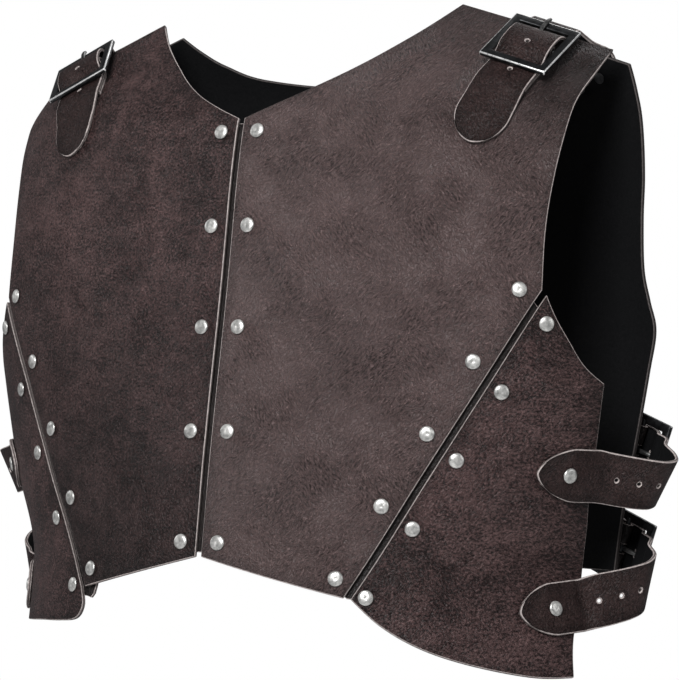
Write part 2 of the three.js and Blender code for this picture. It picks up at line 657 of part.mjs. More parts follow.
function sideStrap(word, side, height, frontRivet) {
  const { rivet: [rivetX, rivetZ], rearEdge } = SIDE_STRAPS[height];
  const seat = sideSeat(side, height);
  const rear = throughBuckle(seat, SIDE_TAIL);
  const tip = [{ shift: -12.4, half: 5 }, { shift: -10.5, half: 10 }, { shift: -7, half: 14.5 },
    { shift: -2.5 }, { shift: 3 }, { shift: rearEdge - rivetX }];
  const rows = tip.map(({ shift, half }) => ({ x: rivetX + shift, z: rivetZ, half })).reverse();
  const front = faceStations(FRONT, rows, side, seat.across);
  const loop = SIDE_BRIDGE[height].toReversed();
  const middles = loop.map(({ x, y, z }, k) => {
    const tuck = LOOP_TUCK[word] * Math.sin((Math.PI * (k + 1)) / (loop.length + 1));
    return new THREE.Vector3((x - tuck) * side, y, z);
  });
  const over = bridge(middles, rear.at(-1), front[0], loop.map(({ lean }) => lean));
  const strap = strapWall([...rear, ...over, ...front], STRAP, seat.normal);
  return cutAway(strap, [prongSlot(seat), rivetHole(frontRivet)]);
}

// ---- The object ----
const armour = new THREE.Group();

function add(name, geometry, material) {
  const mesh = new THREE.Mesh(geometry, material);
  mesh.name = name;
  armour.add(mesh);
}

const allCentreRivets = [];
for (const { word, side } of SIDES) {
  const rivets = sideRivets(word, side);
  const strapRivets = Object.values(rivets.straps);
  const everyRivet = [...rivets.centre, ...rivets.chest, ...rivets.flank, ...strapRivets];
  allCentreRivets.push(...rivets.centre);
  const chestHoles = [...rivets.centre, ...rivets.chest].map(rivetHole);
  const seamHoles = [...rivets.chest, ...rivets.flank].map(rivetHole);
  add(`chest_${word}`, chestPanel(side, chestHoles), leather(PANEL_COLOUR));
  const sideHoles = [...rivets.flank, ...strapRivets].map(rivetHole);
  add(`side_${word}`, sidePanel(side, sideHoles), leather(PANEL_COLOUR));
  add(`seam_strip_${word}`, seamStrip(side, seamHoles), leather(STRIP_COLOUR));
  add(`shoulder_strap_${word}`, shoulderStrap(word, side), leather(STRAP_COLOUR));
  add(`shoulder_chape_${word}`, chape(shoulderSeat(word, side)), leather(STRIP_COLOUR));
  add(`shoulder_buckle_${word}`, buckle(shoulderSeat(word, side)), metal(GUNMETAL, 0.35));
  for (const height of ['upper', 'lower']) {
    const name = `${word}_${height}`;
    add(`side_strap_${name}`, sideStrap(word, side, height, rivets.straps[height]), leather(STRAP_COLOUR));
    add(`side_chape_${name}`, chape(sideSeat(side, height)), leather(STRIP_COLOUR));
    add(`side_buckle_${name}`, buckle(sideSeat(side, height)), metal(GUNMETAL, 0.35));
  }
  for (const place of everyRivet) add(place.name, rivet(place), metal(NICKEL, 0.3));
}
add('back', backPanel(), leather(PANEL_COLOUR));
add('seam_strip_centre', centreStrip(allCentreRivets.map(rivetHole)), leather(STRIP_COLOUR));

export default armour;
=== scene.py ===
# %% [markdown]
# Leather chest armour. Five thick leather panels are riveted over backing strips and hang from two
# buckled shoulder straps; two buckled straps close each side. This file dresses the fixed model of the
# armour: it makes each leather piece as a thin shell on the form the leather was shaped on, then the
# buckles and rivets, and gives each one its finish.

# %% Start
import math

import bmesh
import bpy
import numpy as np
from mathutils import Matrix, Vector


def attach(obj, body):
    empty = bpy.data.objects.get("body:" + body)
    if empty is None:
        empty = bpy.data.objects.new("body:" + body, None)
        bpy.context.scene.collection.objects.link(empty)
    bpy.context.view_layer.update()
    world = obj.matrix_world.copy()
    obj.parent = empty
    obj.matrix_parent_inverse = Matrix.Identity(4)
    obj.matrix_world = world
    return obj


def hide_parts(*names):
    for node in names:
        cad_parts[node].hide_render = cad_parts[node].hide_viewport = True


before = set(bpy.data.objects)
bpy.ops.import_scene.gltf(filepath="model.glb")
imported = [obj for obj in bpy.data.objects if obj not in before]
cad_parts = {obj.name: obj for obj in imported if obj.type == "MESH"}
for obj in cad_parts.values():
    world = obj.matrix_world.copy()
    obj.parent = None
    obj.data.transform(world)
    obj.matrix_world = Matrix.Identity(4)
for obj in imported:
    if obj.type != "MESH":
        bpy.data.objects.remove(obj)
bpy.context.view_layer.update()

MM = 0.001

# %% [markdown]
# The camera stands to the wearer's left of the chest and a little below its middle, with a long lens, so
# that the armour is seen almost without perspective. Its axes are written out as three directions:
# to the right, up, and back away from the armour.

# %% Camera
CAMERA_PLACE = Vector((0.8186, -1.5123, -0.2022))
CAMERA_AZIMUTH = math.radians(28.0)
CAMERA_ELEVATION = math.radians(-0.44)
LENS_MM = 141.74

back_axis = Vector((
    math.sin(CAMERA_AZIMUTH) * math.cos(CAMERA_ELEVATION),
    -math.cos(CAMERA_AZIMUTH) * math.cos(CAMERA_ELEVATION),
    math.sin(CAMERA_ELEVATION),
))
right_axis = Vector((math.cos(CAMERA_AZIMUTH), math.sin(CAMERA_AZIMUTH), 0))
up_axis = back_axis.cross(right_axis)
camera_data = bpy.data.cameras.new("camera")
camera_data.lens = LENS_MM
camera_data.sensor_width = 36
camera_data.sensor_fit = "HORIZONTAL"
camera = bpy.data.objects.new("camera", camera_data)
turn = Matrix((right_axis, up_axis, back_axis)).transposed()
camera.matrix_world = Matrix.Translation(CAMERA_PLACE) @ turn.to_4x4()
bpy.context.scene.collection.objects.link(camera)
bpy.context.scene.camera = camera
print("camera at", [round(v, 3) for v in CAMERA_PLACE])

# %% [markdown]
# A studio in white: the background is plain white to the camera but lights the leather only gently, so
# the leather stays dark. One soft lamp in front and above gives the sheen, a weak one from each side picks
# out the buckles and the cut edges, and a wide one behind and above lights the back.

# %% Studio
scene = bpy.context.scene
scene.view_settings.view_transform = "Standard"
world = bpy.data.worlds.new("studio")
scene.world = world
world.use_nodes = True
sky = world.node_tree
sky.nodes.clear()
seen = sky.nodes.new("ShaderNodeBackground")
seen.inputs["Color"].default_value = (1, 1, 1, 1)
seen.inputs["Strength"].default_value = 1.0
fill = sky.nodes.new("ShaderNodeBackground")
fill.inputs["Color"].default_value = (0.96, 0.97, 1, 1)
fill.inputs["Strength"].default_value = 0.14
ray = sky.nodes.new("ShaderNodeLightPath")
choose = sky.nodes.new("ShaderNodeMixShader")
sky_out = sky.nodes.new("ShaderNodeOutputWorld")
sky.links.new(ray.outputs["Is Camera Ray"], choose.inputs["Fac"])
sky.links.new(fill.outputs["Background"], choose.inputs[1])
sky.links.new(seen.outputs["Background"], choose.inputs[2])
sky.links.new(choose.outputs["Shader"], sky_out.inputs["Surface"])


ARMOUR_MIDDLE = Vector((0, -0.03, -0.19))


def soft_lamp(name, azimuth, elevation, distance, size, power, colour=(1, 1, 1)):
    """A square area lamp that looks at the middle of the armour."""
    data = bpy.data.lights.new(name, "AREA")
    data.shape = "SQUARE"
    data.size = size
    data.energy = power
    data.color = colour
    lamp = bpy.data.objects.new(name, data)
    a, e = math.radians(azimuth), math.radians(elevation)
    away = Vector((math.sin(a) * math.cos(e), -math.cos(a) * math.cos(e), math.sin(e)))
    lamp.location = ARMOUR_MIDDLE + away * distance
    lamp.rotation_mode = "QUATERNION"
    lamp.rotation_quaternion = (-away).to_track_quat("-Z", "Y")
    bpy.context.scene.collection.objects.link(lamp)


soft_lamp("key", 14, 27, 1.9, 0.6, 38)
soft_lamp("side", 85, 15, 2.0, 0.6, 4)
soft_lamp("rim", -80, 20, 2.0, 0.6, 4)
soft_lamp("behind", 175, 45, 2.2, 1.2, 12)

# %% [markdown]
# A plain round floor well below the armour. To the camera it is an even pale grey, which a painted floor
# under these gentle lamps wouldn't be; what it throws back on the leather comes from its white paint.

# %% Floor
FLOOR_HEIGHT, FLOOR_RADIUS, FLOOR_GLOW = -1.25, 4.0, 0.62
bm = bmesh.new()
bmesh.ops.create_circle(bm, cap_ends=True, segments=96, radius=FLOOR_RADIUS)
bmesh.ops.translate(bm, verts=bm.verts, vec=(0, 0, FLOOR_HEIGHT))
floor_mesh = bpy.data.meshes.new("floor")
bm.to_mesh(floor_mesh)
bm.free()
floor = bpy.data.objects.new("floor", floor_mesh)
bpy.context.scene.collection.objects.link(floor)
floor_paint = bpy.data.materials.new("floor_paint")
floor_paint.use_nodes = True
paint = floor_paint.node_tree
paint.nodes["Principled BSDF"].inputs["Base Color"].default_value = (0.9, 0.9, 0.9, 1)
paint.nodes["Principled BSDF"].inputs["Roughness"].default_value = 0.9
pale = paint.nodes.new("ShaderNodeEmission")
pale.inputs["Strength"].default_value = FLOOR_GLOW
lift_to_pale = paint.nodes.new("ShaderNodeMixShader")
paint.links.new(paint.nodes.new("ShaderNodeLightPath").outputs["Is Camera Ray"], lift_to_pale.inputs["Fac"])
paint.links.new(paint.nodes["Principled BSDF"].outputs["BSDF"], lift_to_pale.inputs[1])
paint.links.new(pale.outputs["Emission"], lift_to_pale.inputs[2])
paint.links.new(lift_to_pale.outputs["Shader"], paint.nodes["Material Output"].inputs["Surface"])
floor_mesh.materials.append(floor_paint)
print("floor at", FLOOR_HEIGHT)

# %% [markdown]
# The leather was wetted and shaped over a form. The form is an oval at each height, and this table holds
# it: height, where the middle of the oval stands, its half width, how deep it bows and how much further
# the wearer's right side wraps round. Every panel, strip and strap below is laid on it, which is why
# they all fit each other. All sizes here are in millimetres.

# %% The form
FRONT_ROWS = np.array([
    # height, centre, half width, depth, tuck
    (-402, -166, 226, 188, 18),
    (-332, -154, 206, 184, 0),
    (-269, -143.5, 217, 152, 0),
    (-216, -133, 222, 123, 0),
    (-161, -122, 225, 98, 2),
    (-72, -105, 228, 90, 14),
    (-52, -99, 229, 90, 18),
    (-13, -59, 232, 90, 20),
    (19, -25, 235, 90, 20),
], float)
BACK_ROWS = np.array([
    (-402, 52, 208, 58, 0),
    (-332, 56, 217, 60, 0),
    (-187, 64, 242, 64, 0),
    (-102, 60, 240, 62, 0),
    (-31, 46, 238, 60, 0),
    (16, 24, 238, 60, 0),
], float)
CENTRE, HALF_WIDTH, DEPTH, TUCK = 1, 2, 3, 4
FRONT = (FRONT_ROWS, -1)
REAR = (BACK_ROWS, 1)


def level(rows, column, z):
    """A smooth curve through one column of a table that never overshoots its rows."""
    heights, values = rows[:, 0], rows[:, column]
    rise = np.diff(values) / np.diff(heights)
    slope = np.concatenate([rise[:1], np.zeros(len(rows) - 2), rise[-1:]])
    product = rise[:-1] * rise[1:]
    total = np.where(product > 0, rise[:-1] + rise[1:], 1)
    slope[1:-1] = np.where(product > 0, 2 * product / total, 0)
    k = np.clip(np.searchsorted(heights, z) - 1, 0, len(rows) - 2)
    step = heights[k + 1] - heights[k]
    t = (z - heights[k]) / step
    s = 1 - t
    ends = values[k] * s * s * (1 + 2 * t) + values[k + 1] * t * t * (3 - 2 * t)
    return ends + step * t * s * (slope[k] * s - slope[k + 1] * t)


def face_y(face, x, z):
    rows, outward = face
    tuck = np.where(x < 0, level(rows, TUCK, z), 0)
    reach = np.minimum(np.abs(x) / (level(rows, HALF_WIDTH, z) - tuck), 0.995)
    bow = 1 - np.sqrt(1 - reach ** 2)
    return level(rows, CENTRE, z) - outward * level(rows, DEPTH, z) * bow


def unit(vectors):
    return vectors / np.linalg.norm(vectors, axis=-1, keepdims=True)


def face_normal(face, x, z):
    slope_x = face_y(face, x + 0.5, z) - face_y(face, x - 0.5, z)
    slope_z = face_y(face, x, z + 0.5) - face_y(face, x, z - 0.5)
    return unit(np.stack([-slope_x, np.ones_like(slope_x), -slope_z], -1)) * face[1]


def face_point(face, x, z, lift):
    """A point of the pattern laid on the form and moved out by lift."""
    x, z = np.asarray(x, float), np.asarray(z, float)
    lift = np.asarray(lift, float)[..., None]
    return np.stack([x, face_y(face, x, z), z], -1) + face_normal(face, x, z) * lift


print("front of the form 120 mm down:", face_point(FRONT, 0, -120, 0).round(1), "mm")

# %% [markdown]
# A pattern piece is drawn flat, as four edges, and the inside is filled in between them. Each edge is a
# smooth curve through a few points, divided evenly, so a panel needs only the numbers a maker would
# mark on the hide.

# %% Pattern helpers
def run(points, shares):
    """Points at even shares of the length of a smooth curve through pattern points."""
    marks = np.array(points, float)
    padded = np.vstack([marks[:1], marks, marks[-1:]])
    t = np.linspace(0, len(marks) - 1, 60 * (len(marks) - 1) + 1)
    k = np.minimum(t.astype(int), len(marks) - 2)
    w = (t - k)[:, None]
    a, b, c, d = (padded[k + n] for n in range(4))
    line = b + 0.5 * w * (c - a + w * (2 * a - 5 * b + 4 * c - d + w * (3 * (b - c) + d - a)))
    length = np.concatenate([[0], np.cumsum(np.linalg.norm(np.diff(line, axis=0), axis=1))])
    return np.stack([np.interp(np.asarray(shares) * length[-1], length, line[:, n]) for n in (0, 1)], -1)


def patch(lower, upper, start, end, u, v):
    """Fills a patch between four edges; u and v are the shares of its columns and rows."""
    u, v = u[None, :, None], v[:, None, None]
    lower, upper, start, end = lower[None], upper[None], start[:, None], end[:, None]
    corners = (lower[:, :1] * (1 - u) + lower[:, -1:] * u) * (1 - v)
    corners = corners + (upper[:, :1] * (1 - u) + upper[:, -1:] * u) * v
    return lower * (1 - v) + upper * v + start * (1 - u) + end * u - corners


def steps(length, cell, fine=(0.8, 2.0, 4.0)):
    """Shares from 0 to 1 about a cell apart, with a few narrow ones at both ends for a crisp edge."""
    first = np.array((0, *fine)) / length
    count = max(int(round((1 - 2 * first[-1]) * length / cell)), 2)
    middle = np.linspace(first[-1], 1 - first[-1], count + 1)[1:-1]
    return np.concatenate([first, middle, 1 - first[::-1]])


def edge_distance(grid):
    """How far each point of a pattern grid lies from the cut edge."""
    rim = np.concatenate([grid[0], grid[:, -1], grid[-1, ::-1], grid[::-1, 0]])
    flat = grid.reshape(-1, 2)
    away = np.empty(len(flat))
    for k in range(0, len(flat), 2000):
        gap = flat[k:k + 2000, None] - rim[None]
        away[k:k + 2000] = np.sqrt((gap ** 2).sum(-1)).min(1)
    return away.reshape(grid.shape[:2])


# %% [markdown]
# Every leather piece is one sheet: a grid from Blender whose points are moved to the form, a Solidify
# modifier for the thickness, and a Bevel for the rounded cut edge. Solidify and Bevel can give the back,
# the wall of the cut and the worn corner their own materials, so the pale line along each edge of
# the leather is real geometry and not paint.

# %% Sheet helper
GRAIN_SIDE, FLESH_SIDE, CUT_WALL, WORN_CORNER = range(4)
# Painted shade and light on the left chest: dark patches where the shoulder end bends away from the light and
# by the neck corner, and a faint painted highlight lower in the middle.
CHEST_LEFT_PAINTED_LIGHT_AND_SHADE = [
    # change, x, z, half width, half height of a soft patch
    (-0.74, 188, -24, 46, 44),
    (-0.36, 115, 15, 42, 26),
    (0.1, 55, -95, 70, 70),
]
# The right chest is made darker towards its hem.
CHEST_RIGHT_DARKER_LOW = {"change": -0.5, "from": -150, "over": 140}
DARKEST_PAINTED_SHADE = 0.25
UV_PER_MM = 0.01
SHARP_ANGLE = math.radians(50)


def painted_light_and_shade_at(name, x, z):
    """1 for the plain dye; on the left chest less where shade is painted and more where light is painted, on
    the right chest less towards the hem.
    """
    painted_light_and_shade = 1.0
    if name.startswith("chest_left"):
        for change, x0, z0, wide, high in CHEST_LEFT_PAINTED_LIGHT_AND_SHADE:
            painted_light_and_shade += change * math.exp(-((x - x0) / wide) ** 2 - ((z - z0) / high) ** 2)
    if name.startswith("chest_right"):
        fade = CHEST_RIGHT_DARKER_LOW
        painted_light_and_shade += fade["change"] * min(max((fade["from"] - z) / fade["over"], 0), 1)
    return max(painted_light_and_shade, DARKEST_PAINTED_SHADE)


def leather_sheet(name, points, outside, thickness, side_offset, edge, flat,
                  bevel=0.55, drop=None, wear=None):
    """A leather piece from points (rows, columns, 3) in millimetres.
    side_offset is -1 for a sheet whose points are its grain side, 1 for its flesh side, 0 for its middle.
    wear is 1 where the cut edge is rubbed pale and 0 where it keeps its dye."""
    rows, columns = points.shape[:2]
    bm = bmesh.new()
    bmesh.ops.create_grid(bm, x_segments=columns - 1, y_segments=rows - 1, size=1.0)
    bm.verts.index_update()
    column = [round((v.co.x + 1) / 2 * (columns - 1)) for v in bm.verts]
    row = [round((v.co.y + 1) / 2 * (rows - 1)) for v in bm.verts]
    edge_layer = bm.verts.layers.float.new("edge_mm")
    wear_layer = bm.verts.layers.float.new("wear")
    painted_light_and_shade_layer = bm.verts.layers.float.new("painted_light_and_shade")
    uv_layer = bm.loops.layers.uv.new("UVMap")
    for v in bm.verts:
        j, i = row[v.index], column[v.index]
        v.co = points[j, i] * MM
        v[edge_layer] = edge[j, i]
        v[wear_layer] = 1.0 if wear is None else wear[j, i]
        # painted light and shade of the chest panels, 1 elsewhere
        v[painted_light_and_shade_layer] = painted_light_and_shade_at(name, points[j, i, 0], points[j, i, 2])
    for face in bm.faces:
        for loop in face.loops:
            k = loop.vert.index
            loop[uv_layer].uv = flat[row[k], column[k]] * UV_PER_MM
    if drop is not None:
        middles = {f: np.mean([flat[row[v.index], column[v.index]] for v in f.verts], 0) for f in bm.faces}
        bmesh.ops.delete(bm, geom=[f for f in bm.faces if drop(middles[f])], context="FACES")
    bm.normal_update()
    facing = sum(f.normal.dot(Vector(outside)) for f in list(bm.faces)[:columns])
    if facing < 0:
        bmesh.ops.reverse_faces(bm, faces=bm.faces)
    for face in bm.faces:
        face.smooth = True
    wide = np.linalg.norm(np.diff(points, axis=1), axis=2).sum(1).max()
    long = np.linalg.norm(np.diff(points, axis=0), axis=2).sum(0).max()
    print(f"{name}: {wide:.0f} x {long:.0f} mm, {sum(f.calc_area() for f in bm.faces) * 1e4:.1f} square cm")
    mesh = bpy.data.meshes.new(name)
    bm.to_mesh(mesh)
    bm.free()
    piece = bpy.data.objects.new(name, mesh)
    bpy.context.scene.collection.objects.link(piece)
    wall = piece.modifiers.new("thickness", "SOLIDIFY")
    wall.thickness = thickness * MM
    wall.offset = side_offset
    wall.use_even_offset = True
    wall.material_offset = FLESH_SIDE
    wall.material_offset_rim = CUT_WALL
    corner = piece.modifiers.new("worn corner", "BEVEL")
    corner.width = bevel * MM
    corner.segments = 3
    corner.limit_method = "ANGLE"
    corner.angle_limit = SHARP_ANGLE
    corner.use_clamp_overlap = False
    corner.material = WORN_CORNER
    return piece


# %% [markdown]
# Leather needs one look with several settings: a mottled dye, fine wrinkles that run three ways, with the
# colour following them, lighter on their tops and darker in their troughs, and thin pale crests, partly worn
# grain and partly painted highlight and shade, and a darker band along the cut edges, where dye and wax
# gather. It could be painted on each piece, but it is built once as a node group and placed in each leather
# material with its own colours.

# %% Leather node group
def socket(group, name, kind, direction, value=None):
    made = group.interface.new_socket(name=name, in_out=direction, socket_type=kind)
    if value is not None:
        made.default_value = value


def math_node(tree, operation, a, b=None, c=None, clamp=False):
    node = tree.nodes.new("ShaderNodeMath")
    node.operation = operation
    node.use_clamp = clamp
    for slot, value in enumerate((a, b, c)):
        if value is None:
            continue
        if isinstance(value, (int, float)):
            node.inputs[slot].default_value = value
        else:
            tree.links.new(value, node.inputs[slot])
    return node.outputs[0]


def noise_node(tree, vector, scale, detail=3.0, roughness=0.55, distortion=0.0):
    node = tree.nodes.new("ShaderNodeTexNoise")
    tree.links.new(vector, node.inputs["Vector"])
    node.inputs["Scale"].default_value = scale
    node.inputs["Detail"].default_value = detail
    node.inputs["Roughness"].default_value = roughness
    node.inputs["Distortion"].default_value = distortion
    return node.outputs["Fac"]


def turned(tree, vector, degrees, stretch):
    """Turns the pattern so that its strokes run at an angle, then packs it along and across them."""
    node = tree.nodes.new("ShaderNodeMapping")
    node.vector_type = "TEXTURE"
    tree.links.new(vector, node.inputs["Vector"])
    node.inputs["Rotation"].default_value = (0, 0, math.radians(degrees))
    node.inputs["Scale"].default_value = (1 / stretch[0], 1 / stretch[1], 1)
    return node.outputs["Vector"]


def spread(tree, value, low, high, to_low=0.0, to_high=1.0):
    node = tree.nodes.new("ShaderNodeMapRange")
    node.clamp = True
    tree.links.new(value, node.inputs["Value"])
    for name, number in (("From Min", low), ("From Max", high), ("To Min", to_low), ("To Max", to_high)):
        node.inputs[name].default_value = number
    return node.outputs["Result"]


def mix_colour(tree, share, a, b, blend="MIX"):
    node = tree.nodes.new("ShaderNodeMix")
    node.data_type = "RGBA"
    node.blend_type = blend
    for name, value in (("Factor", share), ("A", a), ("B", b)):
        target = next(s for s in node.inputs if s.name == name and (name == "Factor" or s.type == "RGBA"))
        if isinstance(value, (int, float, tuple)):
            target.default_value = value
        else:
            tree.links.new(value, target)
    return next(s for s in node.outputs if s.type == "RGBA")


def add_swing(tree, value, strength, base, clamp=False):
    """Adds to base how far a noise lies from its middle, times a strength."""
    away = math_node(tree, "SUBTRACT", value, 0.5)
    return math_node(tree, "MULTIPLY_ADD", away, strength, base, clamp)


def read_attribute(tree, name):
    node = tree.nodes.new("ShaderNodeAttribute")
    node.attribute_name = name
    return node.outputs["Fac"]


def add_bump(tree, shader, height, strength, distance):
    node = tree.nodes.new("ShaderNodeBump")
    node.inputs["Strength"].default_value = strength
    node.inputs["Distance"].default_value = distance
    tree.links.new(height, node.inputs["Height"])
    tree.links.new(node.outputs["Normal"], shader.inputs["Normal"])


STROKE_ANGLES = (40, 60, 124)
STROKE_PACKING = (34, 92)
grain = bpy.data.node_groups.new("leather_grain", "ShaderNodeTree")
socket(grain, "Vector", "NodeSocketVector", "INPUT")
socket(grain, "Dark", "NodeSocketColor", "INPUT")
socket(grain, "Light", "NodeSocketColor", "INPUT")
socket(grain, "Mottle", "NodeSocketFloat", "INPUT", 1.0)
socket(grain, "Wrinkle", "NodeSocketFloat", "INPUT", 1.0)
socket(grain, "Colour", "NodeSocketColor", "OUTPUT")
socket(grain, "Roughness", "NodeSocketFloat", "OUTPUT")
socket(grain, "Height", "NodeSocketFloat", "OUTPUT")
gin = grain.nodes.new("NodeGroupInput")
gout = grain.nodes.new("NodeGroupOutput")
place = gin.outputs["Vector"]
patches = spread(grain, noise_node(grain, place, 7, 2.0), 0.47, 0.53)
field = spread(grain, noise_node(grain, place, 1.9, 1.0), 0.5, 0.6)
one_way, other_way, third_way = (
    noise_node(grain, turned(grain, place, degrees, STROKE_PACKING), 1.0, 2.0, 0.55, 0.3)
    for degrees in STROKE_ANGLES
)
wrinkles = mix_colour(grain, field, mix_colour(grain, patches, one_way, other_way), third_way)
crest = math_node(grain, "ABSOLUTE", math_node(grain, "SUBTRACT", wrinkles, 0.54))
crest = spread(grain, crest, 0.01, 0.05, 1.0, 0.0)
blotch = noise_node(grain, place, 11, 5.0, 0.68, 0.4)
speck = noise_node(grain, place, 70, 2.0, 0.7)
cloud = noise_node(grain, place, 2.3, 3.0, 0.55, 0.3)
busy = spread(grain, noise_node(grain, place, 3.1, 2.0), 0.38, 0.62, 0.35, 1.0)
tone = add_swing(grain, blotch, 1.2, 0.0)
tone = add_swing(grain, speck, 2.6, tone)
tone = add_swing(grain, cloud, 1.0, tone)
tone = math_node(grain, "MULTIPLY", tone, gin.outputs["Mottle"])
# Painted light and shade: the colour follows the wrinkles' height, lighter on their tops and darker in their
# troughs, partly grain and partly painted highlight and shade.
stroke = math_node(grain, "MULTIPLY", math_node(grain, "SUBTRACT", wrinkles, 0.5), busy)
stroke = math_node(grain, "MULTIPLY", stroke, gin.outputs["Wrinkle"])
dye_and_painted_light = math_node(grain, "MULTIPLY_ADD", stroke, 0.7, tone)
# The thin crests are painted pale and raised in the height, partly worn grain and partly painted highlight.
lines = math_node(grain, "MULTIPLY", math_node(grain, "MULTIPLY", crest, busy), gin.outputs["Wrinkle"])
dye_and_painted_light = math_node(grain, "MULTIPLY_ADD", lines, 0.55, dye_and_painted_light)
dye_and_painted_light = math_node(grain, "ADD", dye_and_painted_light, 0.31, clamp=True)
band = spread(grain, read_attribute(grain, "edge_mm"), 1.0, 7.0, 0.7, 1.0)
colour = mix_colour(grain, dye_and_painted_light, gin.outputs["Dark"], gin.outputs["Light"])
colour = mix_colour(grain, 1.0, colour, band, "MULTIPLY")
# multiplies in the painted light and shade of the chest panels
colour = mix_colour(grain, 1.0, colour, read_attribute(grain, "painted_light_and_shade"), "MULTIPLY")
grain.links.new(colour, gout.inputs["Colour"])
gloss = add_swing(grain, blotch, 0.4, 0.44)
gloss = add_swing(grain, speck, 0.3, gloss, clamp=True)
grain.links.new(gloss, gout.inputs["Roughness"])
height = math_node(grain, "MULTIPLY", math_node(grain, "MULTIPLY", wrinkles, busy), gin.outputs["Wrinkle"])
height = math_node(grain, "MULTIPLY_ADD", lines, 0.7, height)
height = math_node(grain, "MULTIPLY_ADD", speck, 0.45, height)
height = math_node(grain, "MULTIPLY_ADD", blotch, 0.5, height)
grain.links.new(height, gout.inputs["Height"])
print("leather_grain:", len(grain.nodes), "nodes")


# %% [markdown]
# The two chest panels are cut from one leather, and the difference in tone between them is painted light and
# shade: the left panel's material is a paler copy with the plainest dye and the strongest wrinkles, and the
# other panels are darker and mottled, the straps and strips darker still. The flesh side is left black and
# dull, and the cut edge shows pale fibres where it is rubbed.

# %% Leather materials
GRAIN_RELIEF, FIBRE_RELIEF, METAL_RELIEF = 0.0018, 0.0004, 0.0002


def new_material(name):
    made = bpy.data.materials.new(name)
    made.use_nodes = True
    return made, made.node_tree, made.node_tree.nodes["Principled BSDF"]


def leather_material(name, dark, light, mottle, wrinkle, bump, specular):
    made, tree, shader = new_material(name)
    group = tree.nodes.new("ShaderNodeGroup")
    group.node_tree = grain
    uv = tree.nodes.new("ShaderNodeUVMap")
    uv.uv_map = "UVMap"
    tree.links.new(uv.outputs["UV"], group.inputs["Vector"])
    group.inputs["Dark"].default_value = (*dark, 1)
    group.inputs["Light"].default_value = (*light, 1)
    group.inputs["Mottle"].default_value = mottle
    group.inputs["Wrinkle"].default_value = wrinkle
    add_bump(tree, shader, group.outputs["Height"], bump, GRAIN_RELIEF)
    tree.links.new(group.outputs["Colour"], shader.inputs["Base Color"])
    tree.links.new(group.outputs["Roughness"], shader.inputs["Roughness"])
    shader.inputs["Specular IOR Level"].default_value = specular
    return made


# Painted light: the left chest's material is a paler copy of the right chest's, for the light on that panel.
lit_chest_grain = leather_material(
    "lit_chest_grain", (0.022, 0.0134, 0.0130), (0.225, 0.152, 0.147),
    mottle=0.3, wrinkle=2.4, bump=1.0, specular=0.45)
mottled_grain = leather_material(
    "mottled_grain", (0.011, 0.0056, 0.0054), (0.120, 0.070, 0.068),
    mottle=1.45, wrinkle=1.1, bump=1.0, specular=0.30)
strap_grain = leather_material(
    "strap_grain", (0.008, 0.0040, 0.0038), (0.062, 0.036, 0.034),
    mottle=0.9, wrinkle=1.1, bump=0.9, specular=0.24)
strip_grain = leather_material(
    "strip_grain", (0.007, 0.0052, 0.005), (0.024, 0.018, 0.017),
    mottle=0.8, wrinkle=0.6, bump=0.6, specular=0.3)


def fibre_material(name, dark, light, scale, roughness, bump, specular=0.2):
    """The raw side or cut of leather: short fibres, no gloss."""
    made, tree, shader = new_material(name)
    where = tree.nodes.new("ShaderNodeTexCoord").outputs["Object"]
    fibre = noise_node(tree, where, scale, 5.0, 0.7, 0.5)
    colour = mix_colour(tree, spread(tree, fibre, 0.3, 0.7), (*dark, 1), (*light, 1))
    tree.links.new(colour, shader.inputs["Base Color"])
    add_bump(tree, shader, fibre, bump, FIBRE_RELIEF)
    shader.inputs["Roughness"].default_value = roughness
    shader.inputs["Specular IOR Level"].default_value = specular
    return made


flesh = fibre_material("flesh_side", (0.0016, 0.0018, 0.0022), (0.0052, 0.0052, 0.0058), 500, 0.85, 0.6, 0.12)
cut_wall = fibre_material("cut_wall", (0.05, 0.042, 0.04), (0.16, 0.135, 0.13), 1400, 0.8, 0.4)
worn_corner = fibre_material("worn_corner", (0.22, 0.185, 0.18), (0.55, 0.49, 0.47), 420, 0.6, 0.3)


def keep_dye_where_unworn(material, dyed):
    """Lets the pale corner fade to the dyed colour where the wear attribute is low."""
    tree = material.node_tree
    shader = tree.nodes["Principled BSDF"]
    pale = shader.inputs["Base Color"].links[0].from_socket
    share = spread(tree, read_attribute(tree, "wear"), 0.0, 1.0)
    tree.links.new(mix_colour(tree, share, (*dyed, 1), pale), shader.inputs["Base Color"])


keep_dye_where_unworn(worn_corner, (0.012, 0.010, 0.010))
keep_dye_where_unworn(cut_wall, (0.008, 0.007, 0.007))


def dress(piece, grain_material, slot, *nodes):
    for material in (grain_material, flesh, cut_wall, worn_corner):
        piece.data.materials.append(material)
    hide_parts(*nodes)
    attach(piece, "root")


print("materials:", [m.name for m in bpy.data.materials])

# %% [markdown]
# The rivets come first on paper, because the leather is pulled in a little under each cap. Ten hold the
# centre strip, twenty the two side seams, and one holds the front end of each side strap. The shoulder
# straps' roots get theirs further down.

# %% Rivet places
PANEL, STRAP, STRIP, CHAPE = 2.4, 2.2, 1.8, 1.3
STRIP_GAP, STRAP_GAP, RIVET_GAP = 1.0, 0.6, 0.35
SIDES = {"left": 1, "right": -1}
CENTRE_RIVETS = [(12.6, z) for z in (-62.5, -120.5, -182, -244.5, -310)]
CHEST_SEAM_ENDS = ((84.8, -329.4), (178, -160.7))
SIDE_SEAM_ENDS = ((101.6, -340.4), (191.7, -180.8))
STRAP_RIVETS = {"upper": (196.4, -269.7), "lower": (186.3, -349.6)}


def five_between(ends):
    first, last = np.array(ends)
    return [tuple(first + (last - first) * k / 4) for k in range(5)]


CHEST_RIVETS = five_between(CHEST_SEAM_ENDS)
FLANK_RIVETS = five_between(SIDE_SEAM_ENDS)
print("rivets on one half:", len(CENTRE_RIVETS) + len(CHEST_RIVETS) + len(FLANK_RIVETS) + len(STRAP_RIVETS))
